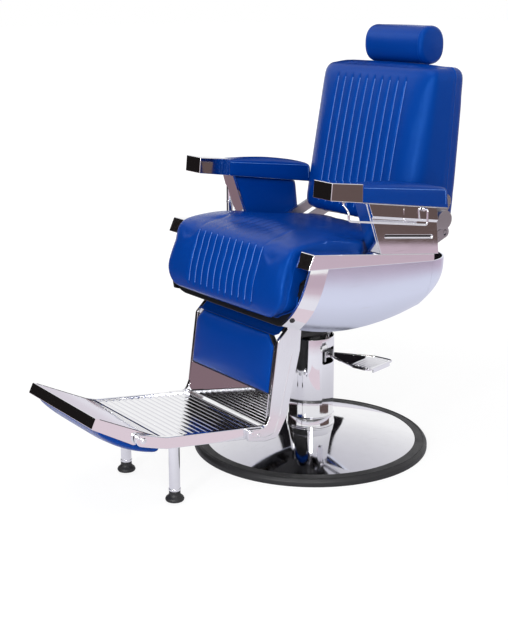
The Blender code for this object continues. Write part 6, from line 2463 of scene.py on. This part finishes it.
    def side_arm(self, side: Side) -> None:
        """Cast arm with its boss, raised border, toe bolts and crank pin.

        Args:
            side: The side.
        """
        sole = self.deck_rear[1] - self.rail_h
        toe_z = self.deck(self.toe) + self.proud
        outline = [(self.pivot[0] - self.boss, self.pivot[1] - 0.075)]
        outline += [(self.calf_front(z) - self.proud, z) for z in self.shin]
        outline += [(self.instep, self.deck(self.instep) + self.proud), (self.toe, toe_z)]
        outline += [(self.toe, toe_z - self.rail_h), (self.instep, sole), (self.heel, sole + self.proud)]
        outline += self.calf_rear
        crank_y = self.crank[0] + 0.012
        outline += [(crank_y, self.crank[1] - 0.005), (crank_y, self.crank[1] + 0.012)]
        outline += [(self.pivot[0] + self.boss, self.pivot[1]), (self.pivot[0] - self.boss, self.pivot[1])]
        reach = side.span(self.arm_x, self.arm_x + self.arm_t)
        arm = prism(fillet(outline, self.arm_rounds, 6), *reach, Axis.X)
        above = (self.pivot[0], self.pivot[1] + HAIR)
        boss = prism(stadium(self.pivot, above, self.boss, 14), *reach, Axis.X)
        self.shop.piece("cast_arm_" + side.tag, merge(arm, boss), CASTING, "leg_rest",
                        ["leg_arm_" + side.tag], Edge.EASED)
        face = side.value * (self.arm_x + self.arm_t)
        rib = wire([(face, y, z) for y, z in self.border], self.border_r, 8)
        way = Vector((side.value, 0, 0))
        heads = [bolt((face, *spot), way, *size) for spot, size in self.toe_bolts]
        self.shop.piece("cast_border_" + side.tag, rib, CASTING, "leg_rest")
        self.shop.piece("toe_bolts_" + side.tag, merge(*heads), CHROME, "leg_rest", edge=Edge.CRISP)
        ends = [(side.value * x, *self.crank) for x in (self.arm_x + self.arm_t / 2, self.crank_end)]
        pin = bar(*ends, self.crank_pin, 24, 0.0008)
        self.shop.piece("crank_pin_" + side.tag, pin, STEEL, "leg_rest")

    def platform(self) -> None:
        """Ribbed deck: each rib is a flat crest between round flanks."""
        ribbed = self.deck_rear[0] - self.plain
        pitch = (ribbed - self.deck_front[0]) / self.ribs
        line = [(self.deck_rear[0], self.deck(self.deck_rear[0]))]
        for k in range(self.ribs):
            y = ribbed - pitch * k
            for back, rise in self.crest:
                line.append((y - pitch * back, self.deck(y - pitch * back) + rise * self.rib_h))
        line.append((self.deck_front[0], self.deck(self.deck_front[0])))
        line.append((self.deck_front[0], self.deck(self.deck_front[0]) - self.deck_t))
        line.append((self.deck_rear[0], self.deck(self.deck_rear[0]) - self.deck_t))
        deck = prism(line, -self.deck_half, self.deck_half, Axis.X)
        self.shop.piece("ribbed_deck", deck, DECK, "leg_rest", ["foot_platform"], sharp=24.0)

    def rail(self, side: Side) -> None:
        """Chrome side rail of the platform, with the flip plate's pivot bolts.

        Args:
            side: The side.
        """
        rear, front, ear = self.deck_rear[0], self.deck_front[0], self.ear
        drop = self.rail_proud - self.rail_h
        y, z = self.flip_pivot
        line = [(rear, self.deck(rear) + self.rail_proud), (rear, self.deck(rear) + drop),
                (front, self.deck(front) + drop)]
        line += [(y + ear / 2, z - ear), (y - ear, z - ear / 2), (y - ear, z + ear)]
        line += [(front, self.deck(front) + self.rail_proud)]
        start = self.deck_half + HAIR
        outline = fillet(line, [0, self.rail_proud, ear, ear / 2, ear, ear / 2, ear], 6)
        rail = prism(outline, *side.span(start, self.arm_x - HAIR), Axis.X)
        self.shop.piece("deck_rail_" + side.tag, rail, CHROME, "leg_rest", ["platform_rail_" + side.tag],
                        Edge.EASED)
        face = side.value * (self.arm_x - HAIR)
        way = Vector((side.value, 0, 0))
        heads = [bolt((face, y + a, z + b), way, *size, 20) for (a, b), size in self.pivot_bolts]
        self.shop.piece("pivot_bolts_" + side.tag, merge(*heads), CHROME, "leg_rest", sharp=50.0)

    def leg(self, side: Side) -> None:
        """Chrome leg with a ring, on a rubber foot.

        Args:
            side: The side.
        """
        x, y, radius = side.value * self.tube[0], self.tube[1], self.tube[2]
        top = self.deck(y + radius) - self.deck_t - HAIR
        low = self.floor + self.tube_foot
        tube = [(radius - 0.002, low), (radius, low), (radius, top), (radius - 0.002, top)]
        inside, start = radius - 0.001, low + 0.001
        outside, stop = radius + self.ring[0], start + self.ring[1]
        ring = [(inside, start), (outside, start), (outside, stop), (inside, stop)]
        outside = radius + 0.004
        seat = [(inside, top - 0.004), (outside, top - 0.003), (outside, top), (inside, top)]
        shape = merge(turned(tube, 48), *[turned(fillet(part, 0.0007, 3), 48) for part in (ring, seat)])
        bmesh.ops.translate(shape, vec=(x, y, 0.0), verts=shape.verts)
        self.shop.piece("chrome_leg_" + side.tag, shape, CHROME, "leg_rest", ["leg_tube_" + side.tag])
        wide, floor = self.foot, self.floor
        foot = [(0.0, floor), (wide - 0.002, floor), (wide, floor + 0.004), (wide - 0.002, floor + 0.009)]
        foot += [(radius + 0.003, floor + 0.0135), (radius + 0.0006, floor + 0.018),
                 (radius + 0.0006, low - HAIR)]
        foot = fillet(foot + [(0.0, low - HAIR)], self.foot_rounds, 5)
        foot = turned(foot, 48, Axis.Z, (x, y, 0.0))
        name = "rubber_foot_" + side.tag
        self.shop.piece(name, foot, RUBBER, "leg_rest", ["foot_pad_" + side.tag], sharp=45.0)


@dataclass
class FlipPlate(Assembly):
    """Flip-over foot plate: chrome tray with a padded underside."""

    leg: LegRest
    pivot: Pair = (-0.655, 0.206)
    half: float = 0.164
    front: Pair = (-0.774, 0.284)
    lip: float = 0.025
    lean: float = 0.012
    gap: float = 0.004
    thick: float = 0.005
    side_h: float = 0.030
    pin: float = 0.005
    pad_t: float = 0.055
    pad_end: float = 0.042
    tray_rounds: tuple[float, ...] = (0, 0.002, 0.008, 0.010, 0.002, 0.0025)
    rivets: int = 7
    rivet: Pair = (0.0017, 0.0011)
    rivet_run: Pair = (0.14, 0.72)
    rivet_in: float = 0.004
    seam_run: Pair = (0.06, 0.97)
    seam_in: float = 0.0006
    seam_r: float = 0.0009
    ear: float = 0.020

    @property
    def rear(self) -> Pair:
        """Rear edge of the tray, ahead of the platform."""
        return self.leg.deck_front[0] - self.gap, self.leg.deck(self.leg.deck_front[0])

    def deck(self, y: float) -> float:
        """Height of the tray's upper face."""
        slope = (self.front[1] - self.rear[1]) / (self.front[0] - self.rear[0])
        return self.rear[1] + slope * (y - self.rear[0])

    def build(self) -> Pad:
        """Make the tray and its pad.

        Returns:
            The pad.
        """
        rear_y, rear_z = self.rear
        lip = (self.front[0] - self.lean, self.front[1] - self.lip)
        side_low = self.deck(self.pivot[0]) - self.side_h
        outline = [(rear_y, rear_z), (rear_y, rear_z - self.thick), (self.pivot[0] + self.ear, side_low)]
        outline += [(self.pivot[0] - self.ear, side_low), lip, self.front]
        body = prism(fillet(outline, self.tray_rounds, 5), -self.half, self.half, Axis.X)
        tray = self.shop.piece("flip_tray", body, CHROME, "flip_plate", ["flip_plate"], Edge.CRISP)
        inside, back = self.half - self.thick, lip[0] + self.thick
        hollow = [(rear_y + self.thick, self.deck(rear_y + self.thick) - self.thick)]
        hollow += [(rear_y + self.thick, side_low - self.side_h), (back, side_low - self.side_h)]
        hollow += [(back, lip[1] + self.thick / 2)]
        edge = self.front[0] + self.thick
        hollow += [(edge, self.deck(edge) - self.thick)]
        self.shop.cut(tray, prism(hollow, -inside, inside, Axis.X),
                      bar((-0.25, *self.pivot), (0.25, *self.pivot), self.pin + HAIR, 24))
        start, stop = Vector(self.front), Vector((rear_y, rear_z))
        up = Vector((0, 0.42, 0.9))
        dots, seams = [], []
        for side in Side:
            for share in np.linspace(*self.rivet_run, self.rivets):
                spot = start.lerp(stop, share)
                place = (side.value * (self.half - self.rivet_in), spot.x, spot.y)
                dots.append(bolt(place, up, *self.rivet, 12))
            ends = [start.lerp(stop, share) for share in self.seam_run]
            edge = side.value * (self.half - self.seam_in)
            seams.append(wire([(edge, spot.x, spot.y) for spot in ends], self.seam_r))
        self.shop.piece("tray_rivets", merge(*dots), STEEL, "flip_plate", sharp=50.0)
        self.shop.piece("tray_seams", merge(*seams), BLACK, "flip_plate", sharp=50.0)
        return self.pad()

    def pad(self) -> Pad:
        """Padded underside.

        Returns:
            The pad.
        """
        pad_front = self.front[0] + self.thick + self.gap
        pad_rear = self.rear[0] - self.gap

        def face(share: float, offset: float) -> Vector:
            """A point of the tray's underside, moved down."""
            y = pad_rear + (pad_front - pad_rear) * share
            return Vector((y, self.deck(y) - self.thick - offset))

        def depth(share: float) -> float:
            """How far the pad stands off the tray, most in its middle."""
            return self.pad_end + (self.pad_t - self.pad_end) * (1 - (2 * share - 1) ** 2)

        half = self.half - self.thick - 2 * SOFT_CLEAR
        pad = Pad("flip_upholstery", "flip_plate", ["flip_pad"], lambda s: face(s, SOFT_CLEAR),
                  lambda s: face(s, depth(s)), lambda s: half, (16.0, 14.0), 0.004, slack=0.003,
                  side_slack=0.001, cap=0.005)
        pad.make(self.shop)
        return pad


@dataclass
class Studio:
    """Pale floor, soft light and the camera of the photograph."""

    eye: Spot = (2.5069, -2.0345, 1.2491)
    heading: float = math.radians(53.774)
    look: Spot = (-0.78807, 0.57733, -0.21360)
    focal: float = 1196.74
    image: Pair = (508.0, 640.0)
    shift: float = -65.0
    sensor: float = 36.0
    world_light: float = 0.55
    floor_size: float = 40.0
    card_rise: float = 0.0006
    pink_span: tuple[Pair, Pair] = ((0.50, -0.60), (0.92, 0.06))
    walls: tuple[tuple[str, tuple[Pair, float, float, float], Colour], ...] = (
        ("dark_left", ((-1.75, -1.35), 3.0, 1.75, 0.0), (0.012, 0.010, 0.010)),
        ("brown_rear", ((2.62, 1.95), 3.4, 0.66, 0.0), (0.13, 0.09, 0.085)),
        ("dark_behind", ((-1.085, 0.840), 0.50, 1.9, 0.42), (0.008, 0.007, 0.009)),
    )
    lamps: tuple[tuple[str, Spot, Spot, Pair, float], ...] = (
        ("top_soft", (0.3, -0.6, 3.1), (0.0, 0.0, 0.5), (2.0, 2.0), 20.0),
        ("camera_soft", (3.0, -1.9, 2.2), (0.0, 0.0, 0.7), (0.6, 1.6), 36.0),
        ("front_soft", (1.45, -3.0, 1.6), (0.0, 0.0, 0.75), (0.12, 1.7), 42.0),
        ("left_soft", (-2.4, -1.6, 2.2), (0.0, 0.0, 0.7), (1.2, 1.6), 8.0),
    )

    def camera(self) -> None:
        """Set up the camera."""
        lens = bpy.data.cameras.new("photo_camera")
        lens.sensor_fit = "VERTICAL"
        lens.sensor_height = self.sensor
        lens.lens = self.focal * self.sensor / self.image[1]
        lens.shift_y = self.shift / self.image[1]
        camera = bpy.data.objects.new("photo_camera", lens)
        bpy.context.scene.collection.objects.link(camera)
        ahead = Vector(self.look).normalized()
        right = Vector((math.cos(self.heading), math.sin(self.heading), 0.0))
        up = right.cross(ahead)
        frame_matrix = Matrix((right, up, -ahead)).transposed().to_4x4()
        frame_matrix.translation = Vector(self.eye)
        camera.matrix_world = frame_matrix
        bpy.context.scene.camera = camera

    def seen(self, w: Wiring) -> bpy.types.NodeSocket:
        """Whether the camera sees a surface, straight or in a mirror.

        Args:
            w: The material's wiring.

        Returns:
            1 where it is seen, and else 0.
        """
        path = w.add("ShaderNodeLightPath").outputs
        first = w.sum_of("MAXIMUM", path["Is Camera Ray"], path["Is Glossy Ray"])
        return w.sum_of("MAXIMUM", first, path["Is Transmission Ray"])

    def world(self) -> None:
        """White surroundings with an even, soft light."""
        world = bpy.data.worlds.new("white_room")
        bpy.context.scene.world = world
        world.use_nodes = True
        w = Wiring(world.node_tree)
        world.node_tree.nodes.clear()
        light = w.add("ShaderNodeBackground",
                      {"Color": (1, 1, 1, 1), "Strength": self.world_light}).outputs[0]
        way = w.add("ShaderNodeTexCoord").outputs["Generated"]
        height = w.add("ShaderNodeSeparateXYZ", {"Vector": way}).outputs["Z"]
        shade = w.spread(height, 0.22, 0.85, 0.0, 1.0)
        tone = w.blend(shade, (1, 1, 1, 1), (0.50, 0.49, 0.56, 1))
        white = w.add("ShaderNodeBackground", {"Color": tone, "Strength": 1.0}).outputs[0]
        mix = w.add("ShaderNodeMixShader", {0: self.seen(w), 1: light, 2: white})
        w.add("ShaderNodeOutputWorld", {"Surface": mix.outputs[0]})

    def floor(self) -> None:
        """Pale floor that keeps the chair's shadow; in mirrors it turns pink and dims near the chair as
        painted shade.
        """
        size = self.floor_size
        shape = prism([(-size, -size), (size, -size), (size, size), (-size, size)], -0.02, -0.0002, Axis.Z)
        floor = self.stage_piece("pale_floor", shape)
        w = self.bare(floor)
        matt = w.add("ShaderNodeBsdfDiffuse", {"Color": (0.80, 0.79, 0.79, 1)}).outputs[0]
        shade = w.add("ShaderNodeBsdfDiffuse", {"Color": (0.18, 0.18, 0.18, 1)}).outputs[0]
        place = w.place()
        far = w.add("ShaderNodeVectorMath", {0: place}, operation="LENGTH").outputs["Value"]
        bright = w.add("ShaderNodeEmission",
                       {"Color": (1, 1, 1, 1), "Strength": w.spread(far, 0.9, 3.2, 0.86, 1.0)})
        across = w.add("ShaderNodeSeparateXYZ", {"Vector": place}).outputs["X"]
        pink = w.sum_of("MULTIPLY", w.spread(far, 1.5, 2.6, 0.0, 1.0), w.spread(across, -0.6, 0.3, 0.3, 1.0))
        tint = w.blend(pink, (0.66, 0.65, 0.72, 1), (0.47, 0.34, 0.42, 1))
        # Painted shade: seen in mirrors, the floor glows less near the chair
        warm = w.add("ShaderNodeEmission", {"Color": tint, "Strength": w.spread(far, 0.2, 0.9, 0.7, 1.0)})
        path = w.add("ShaderNodeLightPath").outputs
        glints = {0: path["Is Glossy Ray"], 1: bright.outputs[0], 2: warm.outputs[0]}
        pick = w.add("ShaderNodeMixShader", glints).outputs[0]
        both = w.add("ShaderNodeAddShader", {0: shade, 1: pick}).outputs[0]
        mix = w.add("ShaderNodeMixShader", {0: self.seen(w), 1: matt, 2: both})
        w.add("ShaderNodeOutputMaterial", {"Surface": mix.outputs[0]})

    def bare(self, made: bpy.types.Object) -> Wiring:
        """Give an object a material of its own name without any nodes.

        Args:
            made: The object.

        Returns:
            The material's wiring.
        """
        material = bpy.data.materials.new(made.name)
        material.use_nodes = True
        material.node_tree.nodes.clear()
        made.data.materials.append(material)
        return Wiring(material.node_tree)

    def card(self, name: str, corners: Sequence[Spot], colour: Colour) -> None:
        """Card that only mirrors see.

        Args:
            name: Its name.
            corners: Its four corners.
            colour: Its colour.
        """
        shape = bmesh.new()
        shape.faces.new([shape.verts.new(corner) for corner in corners])
        card = self.stage_piece(name, shape)
        w = self.bare(card)
        glow = w.add("ShaderNodeEmission", {"Color": (*colour, 1.0), "Strength": 1.0})
        w.add("ShaderNodeOutputMaterial", {"Surface": glow.outputs[0]})
        card.visible_camera = False
        card.visible_diffuse = False
        card.visible_shadow = False
        card.visible_transmission = False

    def upright(self, foot: Pair, width: float, high: float, low: float) -> list[Spot]:
        """Corners of a card that stands upright and faces the chair.

        Args:
            foot: The (x, y) of its middle.
            width: Its width.
            high: Height of its upper edge.
            low: Height of its lower edge.

        Returns:
            The four corners.
        """
        out = Vector(foot).normalized() * width / 2
        ends = [(foot[0] + out.y, foot[1] - out.x), (foot[0] - out.y, foot[1] + out.x)]
        return [(*ends[0], low), (*ends[1], low), (*ends[1], high), (*ends[0], high)]

    def flat(self, foot: Pair, width: float, near: float, far: float) -> list[Spot]:
        """Corners of a card that lies on the floor, between two distances towards a point.

        Args:
            foot: The point that it lies towards.
            width: Its width.
            near: Distance of its near edge.
            far: Distance of its far edge.

        Returns:
            The four corners.
        """
        way = Vector(foot).normalized()
        side = Vector((-way.y, way.x)) * width / 2
        spots = [way * near - side, way * near + side, way * far + side, way * far - side]
        return [(spot.x, spot.y, self.card_rise) for spot in spots]

    def stage_piece(self, name: str, shape: bmesh.types.BMesh) -> bpy.types.Object:
        """Make an object that isn't part of the chair.

        Args:
            name: Its name.
            shape: Its shape, which is used up.

        Returns:
            The object.
        """
        mesh = bpy.data.meshes.new(name)
        shape.to_mesh(mesh)
        shape.free()
        made = bpy.data.objects.new(name, mesh)
        bpy.context.scene.collection.objects.link(made)
        return made

    def lamp(self, name: str, place: Spot, target: Spot, size: Pair, watts: float) -> None:
        """Add a soft rectangular lamp.

        Args:
            name: Its name.
            place: Where it hangs.
            target: What it points at.
            size: Its width and height.
            watts: Its power.
        """
        data = bpy.data.lights.new(name, "AREA")
        data.shape = "RECTANGLE"
        data.size, data.size_y = size
        data.energy = watts
        lamp = bpy.data.objects.new(name, data)
        bpy.context.scene.collection.objects.link(lamp)
        lamp.location = place
        lamp.rotation_mode = "QUATERNION"
        lamp.rotation_quaternion = (Vector(target) - Vector(place)).to_track_quat("-Z", "Y")
        lamp.visible_camera = False

    def build(self) -> None:
        """Set up the whole studio."""
        bpy.context.scene.view_settings.view_transform = "Standard"
        self.camera()
        self.world()
        self.floor()
        for name, sizes, colour in self.walls:
            self.card(name, self.upright(*sizes), colour)
        self.card("brown_floor", self.flat((-1.75, -1.35), 2.2, 0.95, 2.2), (0.24, 0.16, 0.185))
        (left, front), (right, rear) = self.pink_span
        corners = [(left, front), (right, front), (right, rear), (left, rear)]
        self.card("pink_floor", [(x, y, self.card_rise) for x, y in corners], (0.80, 0.675, 0.74))
        for lamp in self.lamps:
            self.lamp(*lamp)


def main() -> None:
    """Dress the chair, assembly by assembly."""
    logging.basicConfig(level=logging.INFO, format="%(name)s: %(message)s")
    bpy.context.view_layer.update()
    Studio().build()
    shop = Workshop()
    PumpBase(shop).build()
    Pedal(shop).build()
    hull = SeatHull(shop)
    hull.build()
    seat = SeatCushion(shop, hull)
    seat_pad = seat.build()
    arms = [Arm(shop, side, hull) for side in Side]
    arm_pads = [arm.build() for arm in arms]
    TowelRail(shop, arms[0]).build()
    back = BackRest(shop)
    back_pads = back.build()
    head = HeadRest(shop)
    head_pad = head.build()
    leg = LegRest(shop)
    calf_pad = leg.build()
    flip_pad = FlipPlate(shop, leg).build()
    Puffing([seat_pad, *sum(arm_pads, []), *back_pads, head_pad, calf_pad, flip_pad]).run()
    seat.sew(seat_pad)
    for arm, pads in zip(arms, arm_pads):
        arm.sew(pads[0])
    back.sew(back_pads[0])
    head.sew(head_pad)
    LOG.info("%d pieces", len(shop.made))


if __name__ == "__main__":
    main()
